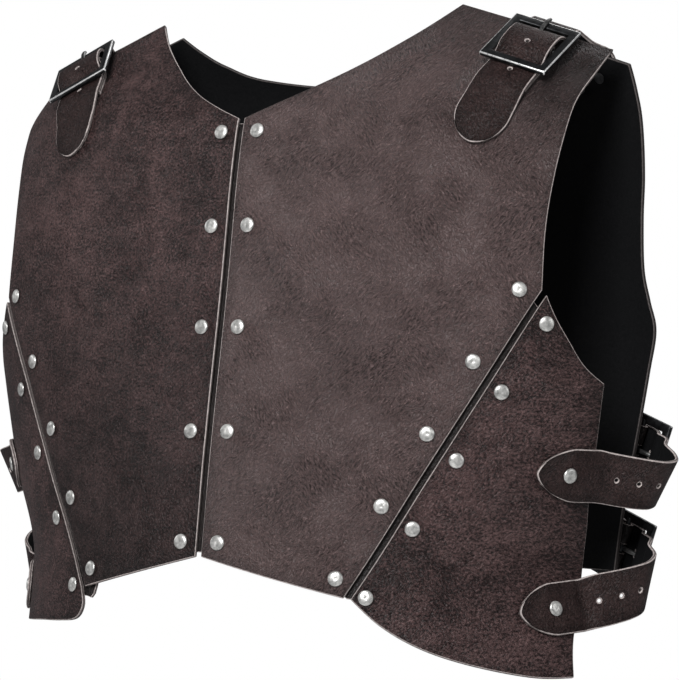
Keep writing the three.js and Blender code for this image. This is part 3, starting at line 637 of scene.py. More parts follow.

# %% [markdown]
# Worn armour leather isn't perfectly smooth. It waves very gently, it is pulled in under the rivets, and
# short creases gather where the straps load it. The creases are listed one by one: where each starts and ends
# on the pattern, how deep it is (a ridge is negative) and how wide.

# %% Creases
CREASES = {
    "chest_left": [
        # from x, z       to x, z        deep  wide
        (186, -9, 203, -12, 0.9, 3.4),
        (185, -20, 200, -30, 1.1, 3.8),
        (183, -32, 194, -49, 0.7, 4.2),
        (188, -15, 203, -21, -0.6, 3.2),
        (185, -27, 197, -40, -0.5, 3.4),
        (150, -70, 176, -128, 0.7, 13),
        (96, -52, 120, -104, 0.6, 16),
        (40, -210, 120, -262, 0.8, 22),
        (20, -92, 70, -128, -0.6, 18),
        (60, -60, 100, -30, 0.5, 9),
    ],
    "chest_right": [
        (-148, -42, -112, -70, 0.6, 10),
        (-172, -88, -146, -140, 0.7, 14),
        (-96, -120, -50, -168, 0.7, 20),
        (-120, -230, -66, -282, 0.8, 20),
        (-84, -30, -56, -64, -0.5, 11),
        (-184, -20, -168, -36, 0.45, 3.5),
        (-188, -30, -172, -48, 0.4, 3.5),
    ],
    "side_left": [
        (150, -262, 178, -228, 0.6, 10),
        (134, -318, 168, -350, 0.7, 12),
        (190, -300, 198, -262, -0.5, 9),
    ],
    "side_right": [
        (-152, -268, -182, -232, 0.6, 10),
        (-130, -316, -160, -342, 0.6, 12),
    ],
    "back": [
        (-150, -60, -90, -120, 0.9, 18),
        (150, -66, 96, -124, 0.8, 20),
        (-60, -210, 30, -236, 0.9, 24),
        (-190, -230, -160, -286, 0.8, 12),
        (186, -222, 164, -290, 0.8, 13),
        (-186, -40, -168, -64, 0.5, 5),
        (188, -42, 170, -62, 0.5, 5),
        (40, -60, 92, -96, -0.6, 17),
        (-120, -300, 20, -312, 0.7, 14),
    ],
}


def segment_distance(x, z, x1, z1, x2, z2):
    """Distance from a line between two points, and how far along it each place is."""
    dx, dz = x2 - x1, z2 - z1
    share = np.clip(((x - x1) * dx + (z - z1) * dz) / (dx * dx + dz * dz), 0, 1)
    return np.hypot(x - x1 - share * dx, z - z1 - share * dz), share


def surface_lift(name, grid, dents):
    """How far the leather stands off the form at each point of its pattern."""
    x, z = grid[..., 0], grid[..., 1]
    lift = 0.35 * np.sin(x / 31 + z / 53) * np.sin(z / 37 - x / 71 + 1.3)
    for x1, z1, x2, z2, deep, wide in CREASES.get(name, []):
        away, share = segment_distance(x, z, x1, z1, x2, z2)
        fade = np.sin(np.pi * (0.15 + 0.7 * share)) ** 0.7
        lift = lift - deep * fade * np.exp(-((away / wide) ** 2))
    settle = np.ones_like(x)
    for rx, rz in dents:
        near = np.exp(-(((x - rx) ** 2 + (z - rz) ** 2) / 11.0 ** 2))
        settle = np.minimum(settle, 1 - near)
    lift = lift * settle
    for rx, rz in dents:
        lift = lift - 0.22 * np.exp(-(((x - rx) ** 2 + (z - rz) ** 2) / 6.5 ** 2))
    return lift


print("creases:", {k: len(v) for k, v in CREASES.items()})

# %% [markdown]
# The five panels. Each pattern is four edges seen from the front. The two halves of the chest are cut
# alike but for the shoulder, the right side panel is cut shorter along its hem, and the back is one piece.

# %% Chest panels
CHEST_CENTRE = [(2, -318.5), (2, -54)]
CHEST_NECK = [(2, -54), (20, -46), (40, -36), (62, -22), (90, 0), (109, 19)]
CHEST_HEM = [(2, -318.5), (89.8, -340.6)]
CHEST_SEAM = [(89.8, -340.6), (189.6, -161)]
CHEST_ARMHOLE = [(189.6, -161), (190.2, -125), (193.7, -90), (199.7, -52), (203.5, -34), (207.5, -14)]
CHEST_SHOULDER = {
    "left": [(109, 19), (207.5, -14)],
    "right": [(109, 19), (150, 0.8), (207.5, -14)],
}
CELL = 2.6
BODY_SHARE = 9 / 16
# how far each cut edge is rubbed: 1 is pale all along, 0 keeps its dye
CHEST_WEAR, SHOULDER_WEAR, NECK_WEAR, SIDE_WEAR, BACK_WEAR = 1.0, 0.12, 0.2, 0.8, 0.16
SHOULDER_ROWS, NECK_COLUMNS = 3, 20


def lay_panel(name, face, grid, dents, grain_material, wear):
    """Lays a pattern grid on the form as one leather panel."""
    lift = surface_lift(name, grid, dents)
    points = face_point(face, grid[..., 0], grid[..., 1], lift)
    outside = face_normal(face, grid[0, :, 0], grid[0, :, 1]).mean(0)
    edge = edge_distance(grid)
    piece = leather_sheet(name + "_leather", points, outside, PANEL, -1, edge, grid, wear=wear)
    dress(piece, grain_material, "panel_leather", name)


def mirrored(grid, side):
    """The same pattern for the other half of the body."""
    return grid * np.array([side, 1.0])


for word, side in SIDES.items():
    u = steps(150, CELL)
    body = steps(264, CELL)
    upper = steps(125, CELL)[1:]
    v = np.concatenate([body * BODY_SHARE, BODY_SHARE + upper * (1 - BODY_SHARE)])
    start = np.vstack([run(CHEST_CENTRE, body), run(CHEST_NECK, upper)])
    end = np.vstack([run(CHEST_SEAM, body), run(CHEST_ARMHOLE, upper)])
    grid = patch(run(CHEST_HEM, u), run(CHEST_SHOULDER[word], u), start, end, u, v)
    dents = [(x * side, z) for x, z in CENTRE_RIVETS + CHEST_RIVETS]
    # the left chest gets the paler copy as painted light
    look = lit_chest_grain if word == "left" else mottled_grain
    wear = np.full(grid.shape[:2], CHEST_WEAR)
    wear[-SHOULDER_ROWS:] = SHOULDER_WEAR
    if word == "left":
        wear[v > BODY_SHARE, :NECK_COLUMNS] = NECK_WEAR
    lay_panel(f"chest_{word}", FRONT, mirrored(grid, side), dents, look, wear)

# %% [markdown]
# A side panel reaches from the diagonal seam round to the flank, where the straps leave it. It could be
# cut in one with the chest, but then the seam's two rows of rivets would have no use, so it is a pattern
# of its own.

# %% Side panels
SIDE_SEAM = [(93.7, -341.2), (191.9, -163.8)]
SIDE_ARMHOLE = [(191.9, -163.8), (196.3, -176.6), (201.7, -190), (207.5, -205), (214.5, -216.1)]
SIDE_REAR_TOP = [(195, -327.3), (201.5, -290), (208.3, -256.3), (214.5, -216.1)]
SIDE_REAR = {
    "left": [(200.8, -388.9), (196.3, -363.7), *SIDE_REAR_TOP],
    "right": [(184, -371), (190, -348), *SIDE_REAR_TOP],
}
SIDE_HEM = {
    "left": [(93.7, -341.2), (109.7, -355.9), (129.4, -368.2), (152.3, -377.7),
             (184.2, -387.1), (200.8, -388.9)],
    "right": [(93.7, -341.2), (90.5, -352), (97, -360.5), (117, -363.5), (145, -366), (184, -371)],
}
for word, side in SIDES.items():
    u, v = steps(120, CELL), steps(190, CELL)
    start, end = run(SIDE_SEAM, v), run(SIDE_REAR[word], v)
    grid = patch(run(SIDE_HEM[word], u), run(SIDE_ARMHOLE, u), start, end, u, v)
    dents = [(x * side, z) for x, z in FLANK_RIVETS]
    wear = np.full(grid.shape[:2], SIDE_WEAR)
    lay_panel(f"side_{word}", FRONT, mirrored(grid, side), dents, mottled_grain, wear)

# %% [markdown]
# The back is the largest cut. It could be two halves with a seam, but one piece needs none and hangs
# better. Its upper edge has three parts, a shoulder, the neck and a shoulder, so that the corners between
# them stay sharp.

# %% Back panel
BACK_CORNER, BACK_SHOULDER_END = (113, 14), (210.5, -21)
BACK_NECK = [(-113, 14), (-102, 4.5), (-87, -5), (-60, -15), (0, -22),
             (60, -15), (87, -5), (102, 4.5), (113, 14)]
SHOULDER_SHARE, NECK_SHARE = 0.25, 0.5
BACK_SIDE = [
    (196.6, -332), (200.6, -295.5), (207.4, -259), (216, -210.4), (221, -184), (216.4, -166),
    (212, -146), (212.4, -115), (214.6, -88), (215.5, -56), (213.6, -38), (210.5, -21),
]
shoulder_cells, neck_cells = steps(100, CELL), steps(250, CELL)[1:]
u = np.concatenate([
    shoulder_cells * SHOULDER_SHARE,
    SHOULDER_SHARE + neck_cells * NECK_SHARE,
    1 - SHOULDER_SHARE + shoulder_cells[1:] * SHOULDER_SHARE,
])
v = steps(320, CELL)
flip = np.array([-1.0, 1.0])
upper = np.vstack([
    run([np.array(BACK_SHOULDER_END) * flip, np.array(BACK_CORNER) * flip], shoulder_cells),
    run(BACK_NECK, neck_cells),
    run([BACK_CORNER, BACK_SHOULDER_END], shoulder_cells[1:]),
])
lower = run([np.array(BACK_SIDE[0]) * flip, BACK_SIDE[0]], u)
right_side = run(BACK_SIDE, v)
grid = patch(lower, upper, right_side * flip, right_side, u, v)
lay_panel("back", REAR, grid, [], mottled_grain, np.full(grid.shape[:2], BACK_WEAR))

# %% [markdown]
# Behind each seam lies a strip of thinner, darker leather that the rivets clamp to both panels. It shows
# as a dark line in the slit, and the lower end of the right seam's strip peeps out as a short tongue.

# %% Backing strips
STRIP_WIDTH, STRIP_CELL, STRIP_EDGE = 34, 3.4, (0.8, 2.4)


def strip_grid(lower, upper, u, v):
    """The pattern of a strip between its two ends, with straight sides."""
    start, end = (run([lower[k], upper[k]], v) for k in (0, -1))
    return patch(run(lower, u), run(upper, u), start, end, u, v)


def lay_strip(name, grid):
    outer = -PANEL - STRIP_GAP
    points = face_point(FRONT, grid[..., 0], grid[..., 1], np.full(grid.shape[:2], outer))
    outside = face_normal(FRONT, grid[0, :, 0], grid[0, :, 1]).mean(0)
    edge = edge_distance(grid)
    piece = leather_sheet(name + "_leather", points, outside, STRIP, -1, edge, grid, bevel=0.4)
    dress(piece, strip_grain, "strip_leather", name)


half = STRIP_WIDTH / 2
u, v = steps(STRIP_WIDTH, STRIP_CELL, STRIP_EDGE), steps(259, STRIP_CELL, STRIP_EDGE)
lower, upper = [(-half, -315.5), (half, -315.5)], [(-half, -56), (half, -56)]
lay_strip("seam_strip_centre", strip_grid(lower, upper, u, v))

foot = (np.array(CHEST_SEAM[0]) + np.array(SIDE_SEAM[0])) / 2
head = (np.array(CHEST_SEAM[1]) + np.array(SIDE_SEAM[1])) / 2
seam_length = np.linalg.norm(head - foot)
seam_along = (head - foot) / seam_length
seam_out = np.array([seam_along[1], -seam_along[0]])


def spot(up, sideways):
    return tuple(foot + seam_along * up + seam_out * sideways)


STRIP_ENDS = {"left": [spot(10, -half), spot(1, -4), spot(1, 2), spot(9, half)],
              "right": [spot(7, -half), spot(-7, -4), spot(-5, 2), spot(5, half)]}
upper = [spot(seam_length + 2, -half), spot(seam_length - 17, half)]
u, v = steps(38, 3.2, STRIP_EDGE), steps(200, STRIP_CELL, STRIP_EDGE)
for word, side in SIDES.items():
    lay_strip(f"seam_strip_{word}", mirrored(strip_grid(STRIP_ENDS[word], upper, u, v), side))
print("seam strip:", round(seam_length, 1), "mm long")

# %% [markdown]
# Each buckle has a seat: the place where its middle bar crosses the panel, the way the strap's tip points,
# and the way out. Everything on a strap is placed by how far it is along, across and above that seat.

# %% Buckle seats
SHOULDER_SEATS = {
    "left": {"x": 165, "z": -18.3, "swing": 0.34, "tail": 93, "bend": 0.0},
    "right": {"x": 151.8, "z": -18.3, "swing": 0.66, "tail": 90, "bend": 0.0026},
}
SIDE_SEATS = {"upper": {"x": 199.5, "z": -256, "rise": 0.36}, "lower": {"x": 191.7, "z": -317, "rise": 0.36}}
REAR_EDGES = {"upper": 206, "lower": 196}
SIDE_TAIL, BEND_START = 72, 15
STRAP_HALF, CHAPE_HALF = 16.0, 15.5
SEAT_REACH = 12


def buckle_seat(face, x, z, heading_x, heading_z, bend=0.0):
    reach = SEAT_REACH / math.hypot(heading_x, heading_z)
    middle = face_point(face, x, z, 0)
    along = unit(face_point(face, x + heading_x * reach, z + heading_z * reach, 0) - middle)
    across = unit(np.cross(along, face_normal(face, np.float64(x), np.float64(z))))
    return {
        "face": face, "middle": middle, "along": along, "across": across,
        "normal": np.cross(across, along), "bend": bend,
    }


def seat_point(seat, along, across, lift):
    """Towards the strap's tip it follows the panel, and the other way it runs straight on."""
    bent = max(along - BEND_START, 0)
    turn = math.atan(2 * seat["bend"] * bent)
    flat = seat["middle"] + seat["along"] * (along - across * math.sin(turn))
    flat = flat + seat["across"] * (seat["bend"] * bent ** 2 + across * math.cos(turn))
    raised = flat + seat["normal"] * lift
    if along < 0:
        return raised
    laid = face_point(seat["face"], flat[0], flat[2], lift)
    share = min(along / SEAT_REACH, 1)
    return raised * (1 - share) + laid * share


def shoulder_seat(word, side):
    row = SHOULDER_SEATS[word]
    return buckle_seat(FRONT, row["x"] * side, row["z"], -row["swing"] * side, -1, -row["bend"] * side)


def side_seat(side, height):
    row = SIDE_SEATS[height]
    return buckle_seat(REAR, row["x"] * side, row["z"], -side, row["rise"])


seats = {f"shoulder_{word}": shoulder_seat(word, side) for word, side in SIDES.items()}
for word, side in SIDES.items():
    for height in SIDE_SEATS:
        seats[f"side_{word}_{height}"] = side_seat(side, height)
print("seats:", {k: s["middle"].round(0).tolist() for k, s in seats.items()})

# %% [markdown]
# A strap is a row of stations, each with three points across its underside. They are set down at the
# heights that the leather takes as it climbs through its buckle, over the bar and down again, and a
# smooth curve joins them. The rounded tip is made by narrowing the last rows to a half circle.

# %% Strap helpers
THROUGH_BUCKLE = np.array([
    # along, lift of the strap's underside
    (-23, 3.2), (-17.5, 3.6), (-15, 5.3), (-12.5, 8.2), (-9, 10.5), (-4, 11.3), (0, 11.2), (6.5, 10.3),
    (12, 6.8), (17.5, 3.8), (23, 3.8), (34, 3.8), (44, 2.2),
    (55, STRAP_GAP), (65, STRAP_GAP), (120, STRAP_GAP),
])
ACROSS = (-1, 0, 1)


def seat_station(seat, along, lift, half=STRAP_HALF):
    return np.array([seat_point(seat, along, share * half, lift) for share in ACROSS])


def across_of(station):
    return unit(station[-1] - station[0])


def bridge(points, start, end, leans=None):
    """Free stations between two others; the way across turns evenly from one to the other."""
    made = []
    for k, point in enumerate(points):
        share = (k + 1) / (len(points) + 1)
        across = across_of(start) * (1 - share) + across_of(end) * share
        if leans is not None:
            across[0] += leans[k] * np.sign(across[2] * point[0])
        across = unit(across)
        made.append(np.array([point + across * share_ * STRAP_HALF for share_ in ACROSS]))
    return made


def face_stations(face, xs, zs, reference):
    """Stations on a panel, square to the line that they follow."""
    middles = face_point(face, xs, zs, np.zeros(len(xs)))
    made = []
    for k in range(len(xs)):
        heading = middles[min(k + 1, len(xs) - 1)] - middles[max(k - 1, 0)]
        across = unit(np.cross(heading, face_normal(face, xs[k], zs[k])))
        if across @ reference < 0:
            across = -across
        offsets = [across * s * STRAP_HALF for s in ACROSS]
        made.append(np.array([face_point(face, xs[k] + o[0], zs[k] + o[2], STRAP_GAP) for o in offsets]))
    return made


def ribbon(stations):
    """The smooth surface through the stations, by the distance from the tip and how far across."""
    marks = np.array(stations)
    gaps = np.linalg.norm(np.diff(marks[:, 1], axis=0), axis=1)
    place = np.concatenate([[0], np.cumsum(gaps)])
    slopes = np.gradient(marks.reshape(len(marks), -1), place, axis=0).reshape(marks.shape)

    def at(distance, across):
        k = np.clip(np.searchsorted(place, distance) - 1, 0, len(place) - 2)
        step = (place[k + 1] - place[k])[..., None, None]
        t = (distance - place[k])[..., None, None] / step
        s = 1 - t
        three = marks[k] * s * s * (1 + 2 * t) + marks[k + 1] * t * t * (3 - 2 * t)
        three = three + step * t * s * (slopes[k] * s - slopes[k + 1] * t)
        a, b, c = three[..., 0, :], three[..., 1, :], three[..., 2, :]
        share = (across / STRAP_HALF)[..., None]
        return b + share * (c - a) / 2 + share * share * (a + c - 2 * b) / 2

    return at, place[-1]


def round_end(distance, across, reach, power):
    """Bends the last rows of a straight grid into a rounded end; a power below 2 makes it more pointed."""
    t = np.clip(1 - distance / reach, 0, 1)
    share = across / STRAP_HALF
    up, out = t * np.sqrt(1 - share ** 2 / 2), share * np.sqrt(1 - t ** 2 / 2)
    size = (np.abs(up) ** power + np.abs(out) ** power) ** (1 / power)
    fit = np.hypot(up, out) / np.maximum(size, 1e-9)
    return np.where(t > 0, reach - reach * up * fit, distance), STRAP_HALF * out * np.where(t > 0, fit, 1)


HOLE_RADIUS, HOLE_HALF, HOLE_ROUNDING = 1.15, 1.1, 0.71
HALF_COLUMNS = [HOLE_RADIUS, 2.0, 3.2, 5.4, 8.2, 11.2, 13.8, 15.2, STRAP_HALF]
COLUMNS = np.array([-c for c in HALF_COLUMNS[::-1]] + [0] + HALF_COLUMNS)


def strap_rows(length, holes, cell=2.0):
    """Row places along a strap, with three rows set through the middle of each hole."""
    wanted = steps(length, cell, (0.8, 2.0)) * length
    for hole in holes:
        wanted = wanted[np.abs(wanted - hole) > HOLE_RADIUS + 0.5]
        wanted = np.concatenate([wanted, [hole - HOLE_RADIUS, hole, hole + HOLE_RADIUS]])
    return np.sort(wanted)


# %% [markdown]
# A shoulder strap runs from its rounded tip on the chest through the buckle, free over the shoulder and
# down on the back, where two rivets hold its root. It could be bent from a flat strip along a curve, but
# stations set by height let the two sides hang differently. The two halves aren't quite alike here.

# %% Shoulder straps
SHOULDER_BRIDGE = [
    # share of the way out, y, heights on the left and on the right
    (0.14, -17.5, {"left": 0.9, "right": -1.4}),
    (0.3, -11, {"left": -1.4, "right": -0.2}),
    (0.46, -3.5, {"left": -4.4, "right": -0.2}),
    (0.62, 5.5, {"left": -6.1, "right": -2.2}),
    (0.78, 13.5, {"left": -7.6, "right": -6.3}),
    (0.9, 19.3, {"left": -12.2, "right": -11.8}),
]
SHOULDER_ROOT = np.array([(183, -20), (180.5, -28), (178, -36), (175.5, -45)], float)
SHOULDER_HOLES = (3, 24)
SLOT_MIDDLE, SLOT_LENGTH, SLOT_HALF = -12.5, 8.0, 2.0
SHOULDER_TIP, SIDE_TIP = 19.0, 16.0
TIP_POWER, ROOT_POWER = 1.8, 1.6
TAIL_STEP, BUCKLE_STEP, BUCKLE_FAR_END = -3.0, -2.0, -23.0


def tip_alongs(tip):
    """Places along the seat, from the tip to the far side of the buckle, closer together in the buckle."""
    tail, inside = np.arange(tip, 56, TAIL_STEP), np.arange(55, -22, BUCKLE_STEP)
    return np.concatenate([tail, inside, [BUCKLE_FAR_END]])


def through_buckle(seat, tip):
    alongs = tip_alongs(tip)
    return [seat_station(seat, a, h) for a, h in zip(alongs, level(THROUGH_BUCKLE, 1, alongs))]


def make_strap(name, seat, stations, slot_middle, reaches, holes):
    """A strap with its tip first; reaches are the lengths of its rounded ends, 0 for a straight one."""
    at, length = ribbon(stations)
    wanted = strap_rows(length, holes)
    distance, across = np.meshgrid(wanted, COLUMNS, indexing="ij")
    for hole in holes:
        on_row = np.abs(np.abs(distance - hole) - HOLE_RADIUS) < 0.01
        corner = on_row & (np.abs(np.abs(across) - HOLE_RADIUS) < 0.01)
        distance = np.where(corner, hole + (distance - hole) * HOLE_ROUNDING, distance)
        across = np.where(corner, across * HOLE_ROUNDING, across)
    straight = np.stack([across, distance], -1)
    distance, across = round_end(distance, across, reaches[0], TIP_POWER)
    if reaches[1]:
        distance, across = round_end(length - distance, across, reaches[1], ROOT_POWER)
        distance = length - distance
    points = at(distance, across)
    from_ends = np.minimum(straight[..., 1], length - straight[..., 1])
    edge = np.minimum(STRAP_HALF - np.abs(straight[..., 0]), from_ends)

    def open_places(middle):
        in_slot = abs(middle[0]) < SLOT_HALF and abs(middle[1] - slot_middle) < SLOT_LENGTH / 2
        in_hole = abs(middle[0]) < HOLE_HALF and any(abs(middle[1] - hole) < HOLE_HALF for hole in holes)
        return in_slot or in_hole

    piece = leather_sheet(name + "_leather", points, seat["normal"], STRAP, 1, edge, straight,
                          bevel=0.65, drop=open_places)
    dress(piece, strap_grain, "strap_leather", name)


def distance_of(stations, along, alongs):
    """How far from the tip a place on the buckle's seat lies, along the strap."""
    middles = np.array(stations)[:len(alongs), 1]
    place = np.concatenate([[0], np.cumsum(np.linalg.norm(np.diff(middles, axis=0), axis=1))])
    return float(np.interp(-along, -alongs, place))


for word, side in SIDES.items():
    seat, row = seats[f"shoulder_{word}"], SHOULDER_SEATS[word]
    front = through_buckle(seat, row["tail"])
    root = face_stations(REAR, SHOULDER_ROOT[:, 0] * side, SHOULDER_ROOT[:, 1], seat["across"])
    start, end = front[-1][1][0], root[0][1][0]
    over = [
        np.array([start + (end - start) * share, y, heights[word]])
        for share, y, heights in SHOULDER_BRIDGE
    ]
    stations = front + bridge(over, front[-1], root[0]) + root
    slot = distance_of(stations, SLOT_MIDDLE, tip_alongs(row["tail"]))
    holes = [distance_of(stations, along, tip_alongs(row["tail"])) for along in SHOULDER_HOLES]
    make_strap(f"shoulder_strap_{word}", seat, stations, slot, (SHOULDER_TIP, 0), holes)

# %% [markdown]
# A side strap is riveted to the side panel, crosses the open flank in a free loop and goes through the
# buckle on the back. The loop's stations are given for the left side and mirrored, and a tuck draws each
# loop in by its own amount.

# %% Side straps
SIDE_BRIDGE = {
    # x, y, z, lean of the upper edge
    "upper": np.array([
        (213.5, -32, -272, 0.04), (224, -25, -274, 0.08), (235, -18.5, -275.8, 0.14),
        (241.5, -11.5, -276.4, 0.2), (242.5, -3, -275, 0.24), (237, 5, -271.6, 0.2), (228, 11.5, -267.4, 0.1),
    ]),
    "lower": np.array([
        (204.5, -31, -345.8, 0.02), (213, -24, -343.6, 0.04), (221, -17, -341, 0.06),
        (226, -9, -337.8, 0.08), (225.5, -1.5, -333.6, 0.08), (219, 5, -328.6, 0.04),
    ]),
}
LOOP_TUCK = {"left_upper": 6.5, "left_lower": 0, "right_upper": 10, "right_lower": 10}
FRONT_TILT = {"left_upper": -0.1, "left_lower": 0.13, "right_upper": 0, "right_lower": 0}
FRONT_REACH, RIVET_TO_TIP = 25.0, 12.9
HOLES_FROM_FRONT = {"upper": (56, 70, 82), "lower": (58, 72, 84)}
for word, side in SIDES.items():
    for height, (rivet_x, rivet_z) in STRAP_RIVETS.items():
        seat = seats[f"side_{word}_{height}"]
        rear = through_buckle(seat, SIDE_TAIL)
        front_tip = rivet_x - RIVET_TO_TIP
        xs = np.concatenate([np.arange(REAR_EDGES[height], front_tip, -2.5), [front_tip]])
        zs = rivet_z + FRONT_TILT[f"{word}_{height}"] * (xs - rivet_x)
        front = face_stations(FRONT, xs * side, zs, seat["across"])
        loop = SIDE_BRIDGE[height][::-1]
        tuck = LOOP_TUCK[f"{word}_{height}"] * np.sin(np.pi * np.arange(1, len(loop) + 1) / (len(loop) + 1))
        middles = [np.array([(x - t) * side, y, z]) for (x, y, z, _), t in zip(loop, tuck)]
        stations = rear + bridge(middles, rear[-1], front[0], loop[:, 3]) + front
        slot = distance_of(stations, SLOT_MIDDLE, tip_alongs(SIDE_TAIL))
        name = f"side_strap_{word}_{height}"
        holes = [ribbon(stations)[1] - away for away in HOLES_FROM_FRONT[height]]
        make_strap(name, seat, stations, slot, (SIDE_TIP, FRONT_REACH), holes)

# %% [markdown]
# The chape is the short tab that holds a buckle: it lies on the panel, turns round the middle bar and
# comes back on itself, with a slot so that the prong can swing.

# %% Chapes
CHAPE_FOLD = [
    # along, lift of the middle of the leather
    (34, 1.2), (28, 1.2), (22, 1.2), (16, 1.2), (10, 1.2), (5, 2.5), (0, 4.6), (-1.9, 5.5), (-2.7, 7.4),
    (-1.9, 9.3), (0, 10.1), (1.9, 9.3), (2.7, 7.4), (3.8, 5.8), (6.5, 4.1), (10, 2.95), (16, 2.75),
    (22, 2.75), (28, 2.75), (34, 2.75),
]
CHAPE_SLOT_ROWS, CHAPE_SLOT_START, CHAPE_SLOT_HALF = (9, 15), 6.5, 3.1
CHAPE_COLUMNS = np.array([-1, -0.94, -0.8, -0.6, -0.4, -0.2, 0, 0.2, 0.4, 0.6, 0.8, 0.94, 1])


def make_chape(name, seat):
    fold = np.array(CHAPE_FOLD, float)
    gaps = np.concatenate([[0], np.cumsum(np.linalg.norm(np.diff(fold, axis=0), axis=1))])
    wanted = steps(gaps[-1], 0.9, (0.5,)) * gaps[-1]
    slopes = np.gradient(fold, gaps, axis=0)
    k = np.clip(np.searchsorted(gaps, wanted) - 1, 0, len(gaps) - 2)
    step = (gaps[k + 1] - gaps[k])[:, None]
    t = (wanted - gaps[k])[:, None] / step
    s = 1 - t
    line = fold[k] * s * s * (1 + 2 * t) + fold[k + 1] * t * t * (3 - 2 * t)
    line = line + step * t * s * (slopes[k] * s - slopes[k + 1] * t)
    points = np.array([[seat_point(seat, a, c * CHAPE_HALF, h) for c in CHAPE_COLUMNS] for a, h in line])
    across = np.repeat(CHAPE_COLUMNS[None] * CHAPE_HALF, len(line), 0)
    flat = np.stack([across, np.repeat(wanted[:, None], len(CHAPE_COLUMNS), 1)], -1)
    edge = np.minimum(CHAPE_HALF - np.abs(across), np.minimum(wanted, gaps[-1] - wanted)[:, None])
    slot_low, slot_high = (gaps[k] for k in CHAPE_SLOT_ROWS)

    def in_slot(middle):
        return abs(middle[0]) < CHAPE_SLOT_HALF and slot_low - CHAPE_SLOT_START < middle[1] < slot_high

    inward = -seat["normal"]
    piece = leather_sheet(name + "_leather", points, inward, CHAPE, 0, edge, flat,
                          bevel=0.3, drop=in_slot)
    dress(piece, strip_grain, "strip_leather", name)


for key, seat in seats.items():
    name = key.replace("shoulder_", "shoulder_chape_").replace("side_", "side_chape_")
    make_chape(name, seat)

# %% [markdown]
# Gunmetal on the buckles is dark, and its outer top bevels are bright metal, partly wear and partly painted
# highlight; nickel on the rivets is pale and satin. Both use one group for fine scratches and blotches of
# wear, with their own values.

# %% Metal materials
scuffs = bpy.data.node_groups.new("metal_wear", "ShaderNodeTree")
socket(scuffs, "Vector", "NodeSocketVector", "INPUT")
socket(scuffs, "Dark", "NodeSocketColor", "INPUT")
socket(scuffs, "Bright", "NodeSocketColor", "INPUT")
socket(scuffs, "Roughness", "NodeSocketFloat", "INPUT", 0.3)
socket(scuffs, "Colour", "NodeSocketColor", "OUTPUT")
socket(scuffs, "Roughness Out", "NodeSocketFloat", "OUTPUT")
socket(scuffs, "Height", "NodeSocketFloat", "OUTPUT")
win = scuffs.nodes.new("NodeGroupInput")
wout = scuffs.nodes.new("NodeGroupOutput")
stain = noise_node(scuffs, win.outputs["Vector"], 260, 5.0, 0.65, 0.4)
scratch = noise_node(scuffs, turned(scuffs, win.outputs["Vector"], 24, (90, 2600)), 1.0, 3.0, 0.6)
share = spread(scuffs, stain, 0.35, 0.7)
scuffs.links.new(mix_colour(scuffs, share, win.outputs["Dark"], win.outputs["Bright"]), wout.inputs["Colour"])
rough = add_swing(scuffs, stain, 0.35, win.outputs["Roughness"])
scuffs.links.new(math_node(scuffs, "ADD", rough, 0.0, clamp=True), wout.inputs["Roughness Out"])
scuffs.links.new(math_node(scuffs, "MULTIPLY_ADD", scratch, 0.5, stain), wout.inputs["Height"])


def metal_material(name, dark, bright, roughness, bump, metallic=1.0):
    made, tree, shader = new_material(name)
    group = tree.nodes.new("ShaderNodeGroup")
    group.node_tree = scuffs
    where = tree.nodes.new("ShaderNodeTexCoord").outputs["Object"]
    tree.links.new(where, group.inputs["Vector"])
    group.inputs["Dark"].default_value = (*dark, 1)
    group.inputs["Bright"].default_value = (*bright, 1)
    group.inputs["Roughness"].default_value = roughness
    tree.links.new(group.outputs["Colour"], shader.inputs["Base Color"])
    tree.links.new(group.outputs["Roughness Out"], shader.inputs["Roughness"])
    add_bump(tree, shader, group.outputs["Height"], bump, METAL_RELIEF)
    shader.inputs["Metallic"].default_value = metallic
    return made


gunmetal = metal_material("gunmetal", (0.035, 0.036, 0.038), (0.075, 0.077, 0.08), 0.42, 0.35)
# Bright metal for the outer top bevels: partly wear, partly painted highlight.
gunmetal_wear_and_highlight = metal_material("gunmetal_wear_and_highlight", (0.62, 0.62, 0.62), (0.92, 0.92, 0.91), 0.3, 0.2, 0.6)
nickel = metal_material("nickel", (0.34, 0.34, 0.33), (0.86, 0.85, 0.82), 0.34, 1.0, 0.6)
dull_metal = metal_material("dull_metal", (0.06, 0.06, 0.06), (0.24, 0.24, 0.235), 0.4, 0.5, 0.8)
dark_metal = metal_material("dark_metal", (0.012, 0.012, 0.013), (0.05, 0.05, 0.052), 0.5, 0.4, 0.5)


def place_part(bm, seat):
    """Moves a part made round the seat's own axes (across, along, out, in mm) onto the armour."""
    basis = Matrix([seat["across"], seat["along"], seat["normal"]]).transposed().to_4x4()
    basis.translation = Vector(seat["middle"])
    bmesh.ops.transform(bm, matrix=Matrix.Scale(MM, 4) @ basis, verts=bm.verts)


def finish_part(name, bm, materials, slot, *nodes):
    bmesh.ops.recalc_face_normals(bm, faces=bm.faces)
    for face in bm.faces:
        face.smooth = True
    mesh = bpy.data.meshes.new(name)
    bm.to_mesh(mesh)
    bm.free()
    for material in materials:
        mesh.materials.append(material)
    piece = bpy.data.objects.new(name, mesh)
    bpy.context.scene.collection.objects.link(piece)
    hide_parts(*nodes)
    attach(piece, "root")


# %% [markdown]
# A buckle is cast in one piece: a square frame with a bar across the middle. The frame starts as a flat
# square that is inset to make the window, drawn up to its thickness and bevelled; the bevel's faces round its
# outer edges on the top get the bright metal, partly wear and partly painted highlight. The prong turns on
# the bar with a ring and rests on the frame's edge.

# %% Buckles
BUCKLE_SIZE, BUCKLE_WINDOW, BUCKLE_THICKNESS, BUCKLE_LIFT = 45, 34, 3, 6.9
BAR_RADIUS, BAR_LIFT = 1.6, 7.4
PRONG_RADIUS, RING_RADIUS, RING_LENGTH = 1.4, 2.6, 5


